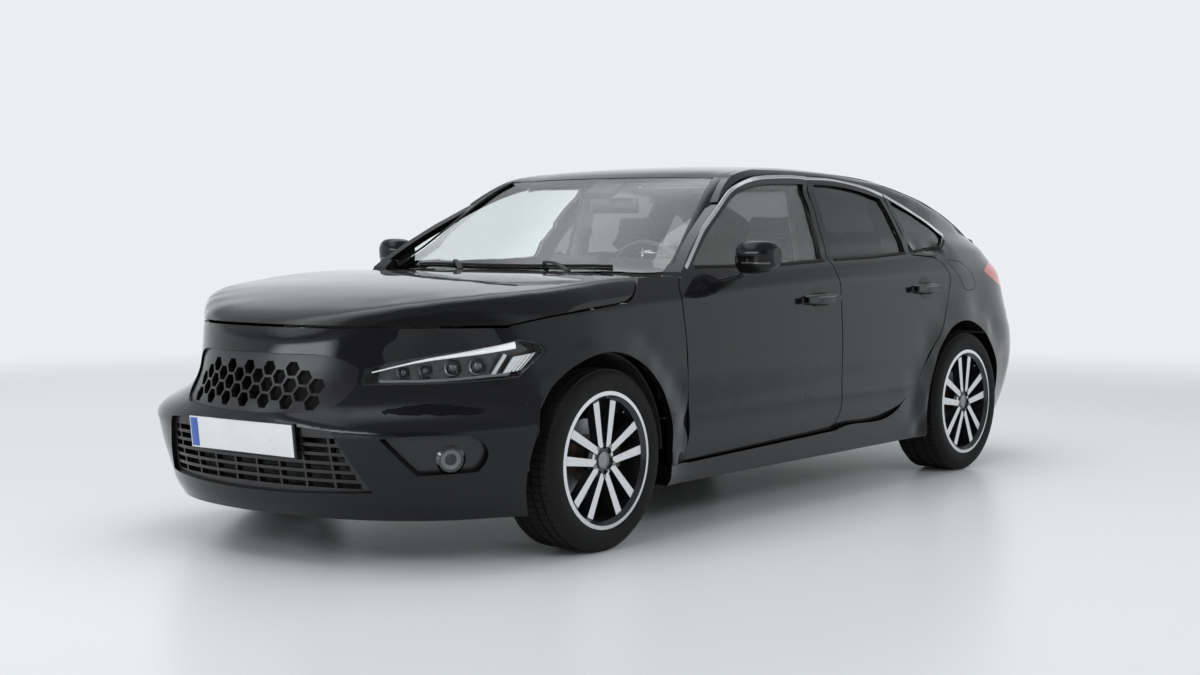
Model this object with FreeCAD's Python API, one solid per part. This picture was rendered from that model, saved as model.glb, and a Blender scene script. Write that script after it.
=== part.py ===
import FreeCAD, Part
import math
import os

# Five-door hatchback car: body shell, hinged panels, steered knuckles and wheels.
# Axes: X points forward, Y to the car's left, Z up. The origin is on the ground,
# in the middle of the car's length and width. All sizes are in millimetres.

Vec = FreeCAD.Vector

# Overall sizes
WHEELBASE = 2734.0
FRONT_OVERHANG = 902.0
REAR_OVERHANG = 915.0
BODY_WIDTH = 1802.0
ROOF_HEIGHT = 1408.0
GROUND_CLEARANCE = 165.0

# Tyres and rims
TYRE_WIDTH = 235.0
TYRE_SIDEWALL = 94.0
RIM_DIAMETER = 457.2
FRONT_TRACK = 1547.0
REAR_TRACK = 1575.0

# Gaps
SHUT_GAP = 6.0
SEAT_GAP = 0.3
SEAM = 0.6

# Walls
DOOR_THICKNESS = 96.0
FRAME_THICKNESS = 44.0
GLASS_THICKNESS = 5.0
PANEL_DEPTH = 26.0

# Body side shape
FLARE = 16.0
FLARE_REACH = 88.0
ARCH_RADIUS = 380.0
WAIST_HEIGHT = 520.0
SIDE_BARREL_TOP = 25.0
SIDE_BARREL_LOW = 35.0
END_DRAW_IN = 8.0
SHOULDER_LEAN = 0.62
GLASS_LEAN = 0.50
GLASS_BOW = 0.0002
CREASE_SOFTNESS = 12.0

FRONT_X = (WHEELBASE + REAR_OVERHANG - FRONT_OVERHANG) / 2
REAR_X = FRONT_X - WHEELBASE
MIDDLE_X = (FRONT_X + REAR_X) / 2
NOSE_X = FRONT_X + FRONT_OVERHANG
TAIL_X = REAR_X - REAR_OVERHANG
HALF_WIDTH = BODY_WIDTH / 2
DOOR_HALF_WIDTH = HALF_WIDTH - FLARE + END_DRAW_IN
TYRE_RADIUS = RIM_DIAMETER / 2 + TYRE_SIDEWALL


def front(offset):
    """Station at an offset from the front axle, positive forwards."""
    return FRONT_X + offset


def rear(offset):
    """Station at an offset from the rear axle, positive forwards."""
    return REAR_X + offset


class Curve:
    """Smooth cubic curve through a few keys, straight beyond its ends."""

    def __init__(self, *keys):
        keys = sorted(keys)
        self.x = [key[0] for key in keys]
        self.y = [key[1] for key in keys]
        count = len(keys)
        gaps = [self.x[i + 1] - self.x[i] for i in range(count - 1)]
        rises = [(self.y[i + 1] - self.y[i]) / gaps[i] for i in range(count - 1)]
        slopes = [rises[0]]
        for i in range(1, count - 1):
            before, after = rises[i - 1], rises[i]
            if before * after <= 0:
                slopes.append(0.0)
            else:
                weight_1 = 2 * gaps[i] + gaps[i - 1]
                weight_2 = gaps[i] + 2 * gaps[i - 1]
                slopes.append((weight_1 + weight_2) / (weight_1 / before + weight_2 / after))
        slopes.append(rises[-1])
        self.slopes = slopes

    def __call__(self, value):
        x, y, m = self.x, self.y, self.slopes
        if value <= x[0]:
            return y[0] + m[0] * (value - x[0])
        if value >= x[-1]:
            return y[-1] + m[-1] * (value - x[-1])
        i = 0
        while value > x[i + 1]:
            i += 1
        gap = x[i + 1] - x[i]
        t = (value - x[i]) / gap
        a = (1 + 2 * t) * (1 - t) ** 2 * y[i]
        b = t * (1 - t) ** 2 * gap * m[i]
        c = t * t * (3 - 2 * t) * y[i + 1]
        d = t * t * (t - 1) * gap * m[i + 1]
        return a + b + c + d


def clamp01(value):
    return min(1.0, max(0.0, value))


def smoothstep(value):
    t = clamp01(value)
    return t * t * (3 - 2 * t)


def soft_max(a, b, width):
    """Larger of two values, with the corner between them rounded."""
    h = max(width - abs(a - b), 0.0) / width
    return max(a, b) + h * h * width / 4


def soft_min(a, b, width):
    return -soft_max(-a, -b, width)


# Lines of the body. Heights are above the ground.
CREASE_HEIGHT = Curve((front(320), 816), (front(130), 832), (front(-210), 855), (front(-470), 868),
                      (front(-880), 890), (rear(1080), 911), (rear(90), 922), (rear(-500), 925))
BELT_HEIGHT = Curve((front(-660), 973), (front(-1200), 970), (rear(1100), 985), (rear(380), 1002),
                    (rear(150), 1014), (rear(-170), 1075), (rear(-500), 1090))
TOP_LINE = Curve((front(820), 800), (front(746), 838), (front(640), 870), (front(520), 899),
                 (front(380), 924), (front(180), 943), (front(-40), 957), (front(-335), 966),
                 (front(-468), 972), (front(-560), 1018), (front(-820), 1166), (front(-1120), 1327),
                 (front(-1240), 1368), (front(-1450), 1396), (rear(1010), ROOF_HEIGHT),
                 (rear(600), 1398), (rear(270), 1370), (rear(-40), 1312), (rear(-340), 1222),
                 (rear(-590), 1126), (rear(-740), 1058), (rear(-800), 1032))
ROOF_CREST = rear(1010)
CROWN = Curve((front(750), 26), (front(200), 18), (front(-250), 6), (front(-640), 10),
              (front(-1170), 20), (rear(1000), 40), (rear(300), 48), (rear(-140), 60), (rear(-800), 60))
ROUNDING = Curve((front(830), 52), (front(400), 44), (front(-250), 40), (front(-430), 26),
                 (front(-560), 12), (front(-1080), 12), (front(-1300), 40), (rear(1000), 52),
                 (rear(0), 44), (rear(-600), 36), (rear(-800), 26))
SIDE_ROUNDING = Curve((front(0), 52), (rear(1000), 52), (rear(0), 44), (rear(-600), 36), (rear(-800), 26))
CROWN_WIDTH = 740.0
CROWN_POWER = 2.3
SCREEN_SWEEP = 135.0
SCREEN_HALF_WIDTH = 781.0

NOSE_REACH = Curve((165, 838), (217, 866), (300, 880), (400, 892), (485, FRONT_OVERHANG), (540, 893),
                   (600, 874), (700, 850), (760, 838), (800, 824), (880, 790))
NOSE_FULLNESS = Curve((165, 0.05), (300, 0.072), (400, 0.09), (465, 0.095), (505, 0.06), (540, 0.0),
                      (580, -0.05), (640, -0.078), (760, -0.06), (850, -0.03))
TAIL_REACH = Curve((165, 830), (240, 868), (400, 903), (560, REAR_OVERHANG), (640, 908), (700, 880),
                   (860, 838), (960, 812), (1020, 800), (1100, 760), (1250, 700))
TAIL_FULLNESS = Curve((165, 0.10), (300, 0.14), (560, 0.175), (900, 0.165), (1000, 0.13), (1200, 0.08))


def crease_profile(z):
    """Half width of the body side below the shoulder crease, halfway along."""
    rise = z - WAIST_HEIGHT
    if rise > 0:
        return DOOR_HALF_WIDTH - SIDE_BARREL_TOP * (rise / 365.0) ** 2
    return DOOR_HALF_WIDTH - SIDE_BARREL_LOW * (rise / 370.0) ** 2


def greenhouse_profile(x, z):
    """Half width of the glasshouse, which narrows towards the tail."""
    rise = z - 975.0
    narrowing = 52.0 * max(0.0, (rear(420) - x) / 1000.0) ** 2
    return DOOR_HALF_WIDTH - 84.0 - GLASS_LEAN * rise - GLASS_BOW * rise * rise - narrowing


def flare(x, z):
    """Swell of the body side round a wheel arch."""
    best = 0.0
    for centre in (FRONT_X, REAR_X):
        distance = math.hypot(x - centre, z - TYRE_RADIUS)
        reach = (ARCH_RADIUS + FLARE_REACH - distance) / FLARE_REACH
        best = max(best, smoothstep(reach))
    return FLARE * best


def side_profile(x, z):
    """Half width of the body between the axles, without the wheel arch flares."""
    x_mid = min(max(x, REAR_X), FRONT_X)
    draw_in = END_DRAW_IN * ((x_mid - MIDDLE_X) / (WHEELBASE / 2)) ** 2
    crease = CREASE_HEIGHT(x)
    below = crease_profile(z)
    above = crease_profile(crease) - SHOULDER_LEAN * (z - crease)
    body = soft_min(below, above, CREASE_SOFTNESS)
    belt = BELT_HEIGHT(x)
    glasshouse = smoothstep((z - belt + 6.0) / 16.0)
    house = min(greenhouse_profile(x, z), body + 200.0)
    return (1 - glasshouse) * body + glasshouse * house - draw_in


def end_radius(angle, reach, half_width, fullness, power):
    """Radius of the rounded nose or tail in plan, about the axle's centre."""
    cosine, sine = math.cos(angle), math.sin(angle)
    base = reach * cosine * cosine + half_width * sine * sine
    return base * (1 + fullness * abs(math.sin(2 * angle)) ** power)


def plan_field(x, y, z):
    """Distance outside the body's side, nose or tail, negative inside."""
    side = abs(y)
    swell = flare(x, z)
    if x > FRONT_X:
        angle = math.atan2(side, x - FRONT_X)
        fullness = NOSE_FULLNESS(z)
        power = 4.0 if fullness < 0 else 2.0
        radius = end_radius(angle, NOSE_REACH(z), side_profile(FRONT_X, z), fullness, power)
        return math.hypot(x - FRONT_X, side) - radius - swell
    if x < REAR_X:
        angle = math.atan2(side, REAR_X - x)
        radius = end_radius(angle, TAIL_REACH(z), side_profile(x, z), TAIL_FULLNESS(z), 3.0)
        return math.hypot(REAR_X - x, side) - radius - swell
    return side - side_profile(x, z) - swell


def top_height(x, y):
    """Height of the bonnet, screens and roof."""
    across = abs(y)
    near_screen = smoothstep((x - front(-1230)) / 560.0) * smoothstep((front(-230) - x) / 200.0)
    shifted = x + SCREEN_SWEEP * near_screen * (across / SCREEN_HALF_WIDTH) ** 2
    return TOP_LINE(shifted) - CROWN(x) * (across / CROWN_WIDTH) ** CROWN_POWER


def body_field(x, y, z):
    """Distance outside the whole body, negative inside."""
    return soft_max(plan_field(x, y, z), z - top_height(x, y), ROUNDING(x))


def side_field(x, y, z):
    """As the body's field, but as if the roof ran on over the windscreen."""
    ceiling = top_height(x, y)
    if x > ROOF_CREST:
        ceiling = ROOF_HEIGHT - CROWN(ROOF_CREST) * (abs(y) / CROWN_WIDTH) ** CROWN_POWER
    return soft_max(plan_field(x, y, z), z - ceiling, SIDE_ROUNDING(x))


def hit(field, base, heading, reach):
    """Point where a ray from inside the body leaves it."""
    low, high = 0.0, reach
    for step in range(20):
        middle = (low + high) / 2
        x, y, z = [base[i] + middle * heading[i] for i in range(3)]
        if field(x, y, z) < 0:
            low = middle
        else:
            high = middle
    middle = (low + high) / 2
    return Vec(*[base[i] + middle * heading[i] for i in range(3)])


def spread(start, end, count):
    return [start + (end - start) * i / (count - 1) for i in range(count)]


# Solids
def spline_through(points):
    spline = Part.BSplineSurface()
    spline.interpolate(points)
    return spline


def surface(points):
    """Smooth face through a grid of points."""
    return spline_through(points).toShape()


def borders(spline):
    low_u, high_u, low_v, high_v = spline.bounds()
    return [spline.uIso(low_u), spline.uIso(high_u), spline.vIso(low_v), spline.vIso(high_v)]


def thick(outer, inner):
    """Solid between two grids of points that lie face to face."""
    near, far = spline_through(outer), spline_through(inner)
    faces = [near.toShape(), far.toShape()]
    for first, second in zip(borders(near), borders(far)):
        faces.append(Part.makeRuledSurface(first.toShape(), second.toShape()))
    shell = Part.Shell(faces)
    shell.sewShape()
    solid = Part.Solid(shell)
    if solid.Volume < 0:
        solid.reverse()
    return solid


def slab(grid, depth):
    """Solid swept from a face through a vector."""
    return surface(grid).extrude(depth)


def outline(segments, place):
    """Closed face from lines (two points) and smooth curves (more points)."""
    edges = []
    for points in segments:
        vectors = [place(a, b) for a, b in points]
        if len(vectors) == 2:
            edges.append(Part.LineSegment(vectors[0], vectors[1]).toShape())
        else:
            curve = Part.BSplineCurve()
            curve.interpolate(vectors)
            edges.append(curve.toShape())
    return Part.Face(Part.Wire(edges))


def side_prism(segments, y_from, y_to):
    """Prism across the car over an outline given as station and height."""
    face = outline(segments, lambda x, z: Vec(x, y_from, z))
    return face.extrude(Vec(0, y_to - y_from, 0))


def plan_prism(segments, z_from, z_to):
    face = outline(segments, lambda x, y: Vec(x, y, z_from))
    return face.extrude(Vec(0, 0, z_to - z_from))


def polygon(*corners):
    """Straight segments round a closed list of corners."""
    corners = list(corners)
    return [[corners[i], corners[(i + 1) % len(corners)]] for i in range(len(corners))]


def box(x0, y0, z0, x1, y1, z1):
    low = Vec(min(x0, x1), min(y0, y1), min(z0, z1))
    return Part.makeBox(abs(x1 - x0), abs(y1 - y0), abs(z1 - z0), low)


def cylinder(radius, start, end):
    return Part.makeCylinder(radius, (end - start).Length, start, end - start)


def fused(*shapes):
    result = shapes[0]
    for shape in shapes[1:]:
        result = result.fuse(shape)
    return result.removeSplitter()


def mirrored(shape):
    return shape.mirror(Vec(0, 0, 0), Vec(0, 1, 0))


def biggest(shape):
    """Largest solid of a shape, without slivers."""
    return max(shape.Solids, key=lambda solid: solid.Volume)


# Grids of points on the body's skin, left side
def level_stations(x_from, x_to, count):
    return [(x, 0.0, 1.0) for x in spread(x_from, x_to, count)]


def nose_stations(angle_to, count):
    """Plan rays from square to the car at the front axle towards the nose."""
    angles = spread(90.0, angle_to, count)
    return [(FRONT_X, math.cos(math.radians(a)), math.sin(math.radians(a))) for a in angles]


def tail_stations(angle_to, count):
    angles = spread(90.0, angle_to, count)
    return [(REAR_X, -math.cos(math.radians(a)), math.sin(math.radians(a))) for a in angles]


def top_grid(stations, widths, drop=0.0, field=body_field):
    """Points on the top of the body: rays in planes along the car."""
    grid = []
    for base_x, base_z, heading_x, heading_z in stations:
        row = []
        for y in widths:
            point = hit(field, (base_x, y, base_z), (heading_x, 0, heading_z), 1500.0)
            row.append(Vec(point.x - drop * heading_x, point.y, point.z - drop * heading_z))
        grid.append(row)
    return grid


# Outlines in side view, as station and height
DOOR_FRONT = [(front(-548), 958), (front(-500), 922), (front(-481), 880), (front(-480), 757),
              (front(-483), 600), (front(-488), 430), (front(-502), 264)]
SILL_FRONT = (front(-502), 264)
SILL_MIDDLE = (rear(1155), 290)
DOOR_SPLIT = [SILL_MIDDLE, (rear(1133), 600), (rear(1112), 880), (rear(1099), 985),
              (rear(1030), 1190), (rear(968), 1358)]
FRONT_FRAME = [(rear(968), 1358), (rear(1100), 1362), (rear(1320), 1354), (front(-1287), 1337),
               (front(-1160), 1302), (front(-1047), 1255), (front(-904), 1186), (front(-782), 1123),
               (front(-548), 970)]
SILL_REAR = [SILL_MIDDLE, (rear(796), 301), (rear(690), 318), (rear(588), 372)]
DOOR_ARCH = [(rear(588), 372), (rear(475), 440), (rear(395), 530), (rear(290), 625), (rear(200), 713),
             (rear(150), 790), (rear(95), 905)]
DOOR_TAIL = [(rear(95), 905), (rear(115), 965), (rear(215), 1003)]
QUARTER_EDGE = [(rear(215), 1003), (rear(345), 1012), (rear(335), 1120), (rear(338), 1292)]
REAR_FRAME = [(rear(338), 1292), (rear(506), 1330), (rear(736), 1356), (rear(968), 1358)]

FRONT_DOOR_OUTLINE = [DOOR_FRONT, [SILL_FRONT, SILL_MIDDLE], DOOR_SPLIT, FRONT_FRAME,
                      [FRONT_FRAME[-1], DOOR_FRONT[0]]]
REAR_DOOR_OUTLINE = [SILL_REAR, DOOR_ARCH, DOOR_TAIL, [QUARTER_EDGE[0], QUARTER_EDGE[1]],
                     [QUARTER_EDGE[1], QUARTER_EDGE[3]], REAR_FRAME, list(reversed(DOOR_SPLIT))]

QUARTER_WINDOW = [[(rear(312), 1030), (rear(155), 1042), (rear(-30), 1072), (rear(-72), 1094)],
                  [(rear(-72), 1094), (rear(0), 1140), (rear(130), 1198), (rear(300), 1262)],
                  [(rear(300), 1262), (rear(312), 1030)]]
FRONT_WINDOW = [[(front(-640), 992), (front(-1150), 990), (rear(1142), 1002)],
                [(rear(1142), 1002), (rear(1070), 1190), (rear(1012), 1322)],
                [(rear(1012), 1322), (rear(1230), 1320), (front(-1287), 1300), (front(-1160), 1266),
                 (front(-1047), 1219), (front(-904), 1150), (front(-782), 1085), (front(-640), 992)]]
REAR_WINDOW = [[(rear(1055), 1004), (rear(700), 1012), (rear(385), 1026)],
               [(rear(385), 1026), (rear(376), 1120), (rear(380), 1268)],
               [(rear(380), 1268), (rear(506), 1292), (rear(736), 1318), (rear(924), 1322)],
               [(rear(924), 1322), (rear(980), 1190), (rear(1055), 1004)]]
BONNET_SIDE = [(front(-285), 957), (front(-250), 928), (front(-191), 883), (front(-140), 867)]
BONNET_SWEEP = [(front(-140), 867), (front(5), 855), (front(200), 837), (front(377), 804)]
LAMP_TIP = (front(264), 720)
LAMP_SIDE = [(front(377), 804), (front(348), 758)]
LAMP_TOP = [(front(350), 758), (front(470), 728), (front(585), 702), (front(712), 664)]
LAMP_FOOT = (front(352), 632)
LAMP_INNER = (front(730), 612)
LAMP_OUTLINE = [LAMP_TOP, [LAMP_TOP[-1], LAMP_INNER],
                [LAMP_INNER, (front(548), 613), LAMP_FOOT], [LAMP_FOOT, LAMP_TIP],
                [LAMP_TIP, (front(300), 748), LAMP_TOP[0]]]
BUMPER_FOOT = (front(366), 430)
NOSE_TOP = 797.0
SILL_BOTTOM = 190.0
SILL_INNER = 700.0
SILL_WIDTH = 100.0
POST_WIDTH = 75.0
SIDE_WALL = 120.0
DOOR_LEAN = 0.12
ROOF_EDGE = 556.0
ROOF_FRONT = front(-1176)
SCREEN_TOP = (ROOF_FRONT, 548)
SCREEN_FOOT = (front(-604), 722)
TAILGATE_TOP = rear(275)
TAILGATE_EDGE = 640.0
BUMPER_TOP = 700.0
REAR_BUMPER_AREA = [[(rear(-340), 100), (rear(-340), 560)], [(rear(-340), 560), (rear(-450), BUMPER_TOP)],
                    [(rear(-450), BUMPER_TOP), (TAIL_X - 50, BUMPER_TOP)],
                    [(TAIL_X - 50, BUMPER_TOP), (TAIL_X - 50, 100)], [(TAIL_X - 50, 100), (rear(-340), 100)]]


def skin_place(lean):
    """Place for an outline that is true where it meets the skin, for a prism that leans forward."""
    def place(x, z):
        if not lean:
            return Vec(x, DOOR_HALF_WIDTH, z)
        across = hit(side_field, (x, 0, z), (0, 1, 0), 1300.0).y
        return Vec(x - lean * (DOOR_HALF_WIDTH - across), DOOR_HALF_WIDTH, z)
    return place


def end_tangent(points):
    """Direction of a smooth curve at its first point."""
    dx, dz = points[1][0] - points[0][0], points[1][1] - points[0][1]
    if len(points) > 2:
        dx = 2 * dx - (points[2][0] - points[0][0]) / 2
        dz = 2 * dz - (points[2][1] - points[0][1]) / 2
    length = math.hypot(dx, dz)
    return dx / length, dz / length


def grown(segments, distance):
    """Outline moved outwards by a distance, or inwards where it is negative."""
    loop = [point for points in segments for point in points[:-1]]
    area = sum(loop[i - 1][0] * loop[i][1] - loop[i][0] * loop[i - 1][1] for i in range(len(loop)))
    side = distance if area > 0 else -distance
    starts = [end_tangent(points) for points in segments]
    ends = [end_tangent(list(reversed(points))) for points in segments]
    corners = []
    for i in range(len(segments)):
        before = (-ends[i - 1][0], -ends[i - 1][1])
        after = starts[i]
        scale = side / (1 + before[0] * after[0] + before[1] * after[1])
        x, z = segments[i][0]
        corners.append((x + (before[1] + after[1]) * scale, z - (before[0] + after[0]) * scale))
    result = []
    for i, points in enumerate(segments):
        moved = [corners[i]]
        for j in range(1, len(points) - 1):
            dx, dz = points[j + 1][0] - points[j - 1][0], points[j + 1][1] - points[j - 1][1]
            length = math.hypot(dx, dz)
            moved.append((points[j][0] + side * dz / length, points[j][1] - side * dx / length))
        moved.append(corners[(i + 1) % len(corners)])
        result.append(moved)
    return result


def leaning_prism(segments, grow=0.0, lean=DOOR_LEAN, inner=380.0, outer=60.0):
    """Prism through the body side, leaning forward as it goes in."""
    face = outline(grown(segments, grow) if grow else segments, skin_place(lean))
    face.translate(Vec(-lean * outer, outer, 0))
    return face.extrude(Vec(lean * (inner + outer), -(inner + outer), 0))


def side_rows(low, high):
    """Heights for the rows of a side grid, which follow the crease and the waistline."""
    def rows(x):
        crease, belt = CREASE_HEIGHT(x), BELT_HEIGHT(x)
        top = min(high, top_height(x, ROOF_EDGE) - 30.0) if x < ROOF_CREST else high
        below = spread(low, crease - 60, 6)
        shoulder = [crease - 24, crease - 8, crease, crease + 8, crease + 24, (crease + belt) / 2]
        waist = [belt - 14, belt, belt + 14]
        return below + shoulder + waist + spread(belt + 60, top, 6)
    return rows


def door_skin(x_from, x_to, count):
    stations = spread(x_from, x_to, count)
    rows = side_rows(235.0, 1370.0)
    return [[hit(side_field, (x, 0, z), (0, 1, 0), 1300.0) for z in rows(x)] for x in stations]


EDGE_RELIEF_DEPTH = 15.0


def door(skin, shape_outline, window, relief=None):
    """Door as thick as the real one, with a thinner window frame and its window cut.

    The relief, as two stations and a height, thins an edge that swings close to the body.
    """
    body = slab(skin, Vec(0, -DOOR_THICKNESS, 0))
    body = body.common(leaning_prism(shape_outline, -SHUT_GAP / 2))
    frame_back = slab(skin, Vec(0, -DOOR_THICKNESS, 0))
    frame_back.translate(Vec(0, -FRAME_THICKNESS, 0))
    low = min(point[1] for segment in window for point in segment)
    x_low = min(point.x for row in skin for point in row)
    x_high = max(point.x for row in skin for point in row)
    frame_back = frame_back.common(box(x_low - 200, 0, low + 8, x_high + 200, 1000, 1500))
    body = body.cut(frame_back)
    body = body.cut(leaning_prism(window, 0.0, lean=0.0))
    body = body.cut(box(x_low - 200, 0, 1100, x_high + 200, ROOF_EDGE + SHUT_GAP, 1600))
    if relief:
        behind = slab(skin, Vec(0, -DOOR_THICKNESS, 0))
        behind.translate(Vec(0, -EDGE_RELIEF_DEPTH, 0))
        body = body.cut(behind.common(box(relief[0], 0, relief[2], relief[1], 1000, 1500)))
    return biggest(body.cut(screen_room(SHUT_GAP)))


def pane(skin, window, inset):
    """Pane of glass set back from the skin, just clear of its frame."""
    glass = slab(skin, Vec(0, -GLASS_THICKNESS, 0))
    glass.translate(Vec(0, -inset, 0))
    return biggest(glass.common(leaning_prism(window, -SEAT_GAP, lean=0.0)))


def arch_cutter(axle_x, radius):
    return Part.makeCylinder(radius, 620.0, Vec(axle_x, 420.0, TYRE_RADIUS), Vec(0, 1, 0))


def screen_room(room=0.0):
    """Prism over the windscreen's place in plan, up to its side edges."""
    edge = polygon((front(-1500), 0), (front(-1500), SCREEN_TOP[1] + room), (SCREEN_TOP[0], SCREEN_TOP[1] + room),
                   (SCREEN_FOOT[0], SCREEN_FOOT[1] + room), (front(-400), SCREEN_FOOT[1] + room), (front(-400), 0))
    return plan_prism(edge, 700.0, 1500.0)


def body_side():
    """Sill, pillars, roof rail and rear quarter as one frame."""
    stations = level_stations(front(-370), rear(560), 9)
    stations += level_stations(rear(470), rear(60), 7)
    stations += tail_stations(38.0, 14)
    rows = []
    for base_x, heading_x, heading_y in stations:
        x = base_x + heading_x * 900.0
        crease, belt = CREASE_HEIGHT(x), min(BELT_HEIGHT(x), 1010.0)
        heights = spread(SILL_BOTTOM, crease - 60, 7)
        heights += [crease - 24, crease - 8, crease, crease + 8, crease + 24]
        heights += [belt - 14, belt, belt + 14]
        row = [hit(side_field, (base_x, 0, z), (heading_x, heading_y, 0), 1300.0) for z in heights]
        for angle in spread(6.0, 52.0, 9):
            cosine, sine = math.cos(math.radians(angle)), math.sin(math.radians(angle))
            heading = (heading_x * cosine, heading_y * cosine, sine)
            row.append(hit(side_field, (base_x, 0, heights[-1]), heading, 1300.0))
        rows.append(row)
    side = slab(rows, Vec(0, -SIDE_WALL, 0))
    side = side.cut(leaning_prism(FRONT_DOOR_OUTLINE, SHUT_GAP / 2))
    side = side.cut(leaning_prism(REAR_DOOR_OUTLINE, SHUT_GAP / 2))
    side = side.cut(leaning_prism(QUARTER_WINDOW, 0.0, lean=0.0))
    side = side.cut(arch_cutter(REAR_X, ARCH_RADIUS))
    fender_area = [DOOR_FRONT, [SILL_FRONT, (front(-200), SILL_FRONT[1])],
                   [(front(-200), SILL_FRONT[1]), (front(-200), DOOR_FRONT[0][1])],
                   [(front(-200), DOOR_FRONT[0][1]), DOOR_FRONT[0]]]
    side = side.cut(leaning_prism(fender_area, 0.0))
    side = side.cut(arch_cutter(FRONT_X, ARCH_RADIUS))
    side = side.cut(box(TAIL_X - 50, 0, -100, 2000, ROOF_EDGE, 1600))
    side = side.cut(top_cutter())
    side = side.cut(screen_room())
    side = side.cut(box(rear(955), SILL_INNER + 45, 284, rear(1165), 850, 330))
    tailgate_area = polygon((TAILGATE_TOP, 0), (TAILGATE_TOP, TAILGATE_EDGE - 50), (rear(-150), TAILGATE_EDGE),
                            (TAIL_X - 50, TAILGATE_EDGE), (TAIL_X - 50, 0))
    side = side.cut(plan_prism(tailgate_area, 600.0, 1500.0))
    side = side.cut(side_prism(REAR_BUMPER_AREA, 0.0, 1000.0))
    return biggest(side.cut(tail_lamp(SEAT_GAP)))


def top_cutter():
    """Everything above the windscreen and the front of the roof."""
    grid = []
    for x in spread(front(-1500), front(-360), 16):
        grid.append([Vec(x, y, top_height(x, y)) for y in spread(300.0, 960.0, 9)])
    return slab(grid, Vec(0, 0, 500))


def fender():
    """Front wing between the bonnet, lamp, bumper and door."""
    stations = level_stations(front(-590), front(-20), 9) + nose_stations(52.0, 11)
    grid = []
    for base_x, heading_x, heading_y in stations:
        crease = CREASE_HEIGHT(base_x + heading_x * 800.0)
        heights = spread(235.0, crease - 60, 8) + [crease - 24, crease - 8, crease, crease + 8]
        heights += spread(crease + 24, 964.0, 5) if not heading_x else spread(crease + 16, crease + 52, 5)
        grid.append([hit(side_field, (base_x, 0, z), (heading_x, heading_y, 0), 1300.0) for z in heights])
    wing = slab(grid, Vec(0, -PANEL_DEPTH, 0))
    area = [list(reversed(BONNET_SIDE)), [BONNET_SIDE[0], DOOR_FRONT[0]], DOOR_FRONT,
            [DOOR_FRONT[-1], (front(-360), SILL_FRONT[1])],
            [(front(-360), SILL_FRONT[1]), (front(-360), 430)], [(front(-360), 430), BUMPER_FOOT],
            [BUMPER_FOOT, LAMP_FOOT], [LAMP_FOOT, LAMP_TIP], [LAMP_TIP, (front(300), 748), LAMP_TOP[0]],
            [LAMP_TOP[0], LAMP_SIDE[0]], list(reversed(BONNET_SWEEP))]
    wing = wing.common(leaning_prism(area, -SHUT_GAP / 2, lean=0.0))
    return biggest(wing.cut(arch_cutter(FRONT_X, ARCH_RADIUS)))


def bonnet_stations():
    stations = [(x, 500.0, 0.0, 1.0) for x in spread(front(-420), front(120), 8)]
    for angle in spread(7.0, 70.0, 12):
        a = math.radians(angle)
        stations.append((front(120), 500.0, math.sin(a), math.cos(a)))
    return stations


def bonnet_widths():
    half = [0, 130, 260, 390, 510, 610, 690, 740, 775, 800, 822, 842]
    return [-y for y in reversed(half[1:])] + half


def bonnet_slab(extra=0.0):
    outer = top_grid(bonnet_stations(), bonnet_widths())
    return slab(outer, Vec(0, 0, -PANEL_DEPTH - extra))


def bonnet():
    """Clamshell bonnet, with its side faces down to the wings."""
    panel = bonnet_slab()
    side = [list(reversed(BONNET_SIDE)), [BONNET_SIDE[0], (front(-300), 925)],
            [(front(-300), 925), (front(-460), 925)], [(front(-460), 925), (front(-460), 1100)],
            [(front(-460), 1100), (front(990), 1100)],
            [(front(990), 1100), (front(990), 804)], [(front(990), 804), BONNET_SWEEP[-1]],
            list(reversed(BONNET_SWEEP))]
    panel = panel.common(side_prism(grown(side, -SHUT_GAP / 2), -1000.0, 1000.0))
    rear_edge = [[(front(-268), -860), (front(-280), -770), (front(-330), -680), (front(-372), -420),
                  (front(-388), 0), (front(-372), 420), (front(-330), 680), (front(-280), 770),
                  (front(-268), 860)],
                 [(front(-268), 860), (front(1000), 860)], [(front(1000), 860), (front(1000), -860)],
                 [(front(1000), -860), (front(-268), -860)]]
    return biggest(panel.common(plan_prism(rear_edge, 600.0, 1100.0)))


def roof():
    stations = [(x, 900.0, 0.0, 1.0) for x in spread(TAILGATE_TOP - 40, ROOF_FRONT + 30, 12)]
    widths = [-600, -560, -500, -400, -260, -130, 0, 130, 260, 400, 500, 560, 600]
    panel = slab(top_grid(stations, widths), Vec(0, 0, -PANEL_DEPTH))
    edge = polygon((TAILGATE_TOP + SHUT_GAP / 2, -ROOF_EDGE), (ROOF_FRONT, -ROOF_EDGE),
                   (ROOF_FRONT, ROOF_EDGE), (TAILGATE_TOP + SHUT_GAP / 2, ROOF_EDGE))
    return biggest(panel.common(plan_prism(edge, 1000.0, 1500.0)))


def windscreen():
    grid = []
    for x in spread(front(-1200), front(-440), 12):
        grid.append([Vec(x, y, top_height(x, y) - 3.0) for y in spread(-740.0, 740.0, 13)])
    glass = slab(grid, Vec(0, 0, -GLASS_THICKNESS))
    top_x, top_y = SCREEN_TOP
    foot_x, foot_y = SCREEN_FOOT
    edge = [[(top_x, -top_y), (top_x, top_y)], [(top_x, top_y), (foot_x, foot_y)],
            [(foot_x, foot_y), (front(-520), 480), (front(-478), 0), (front(-520), -480), (foot_x, -foot_y)],
            [(foot_x, -foot_y), (top_x, -top_y)]]
    return biggest(glass.common(plan_prism(grown(edge, -SEAT_GAP), 700.0, 1500.0)))


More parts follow.
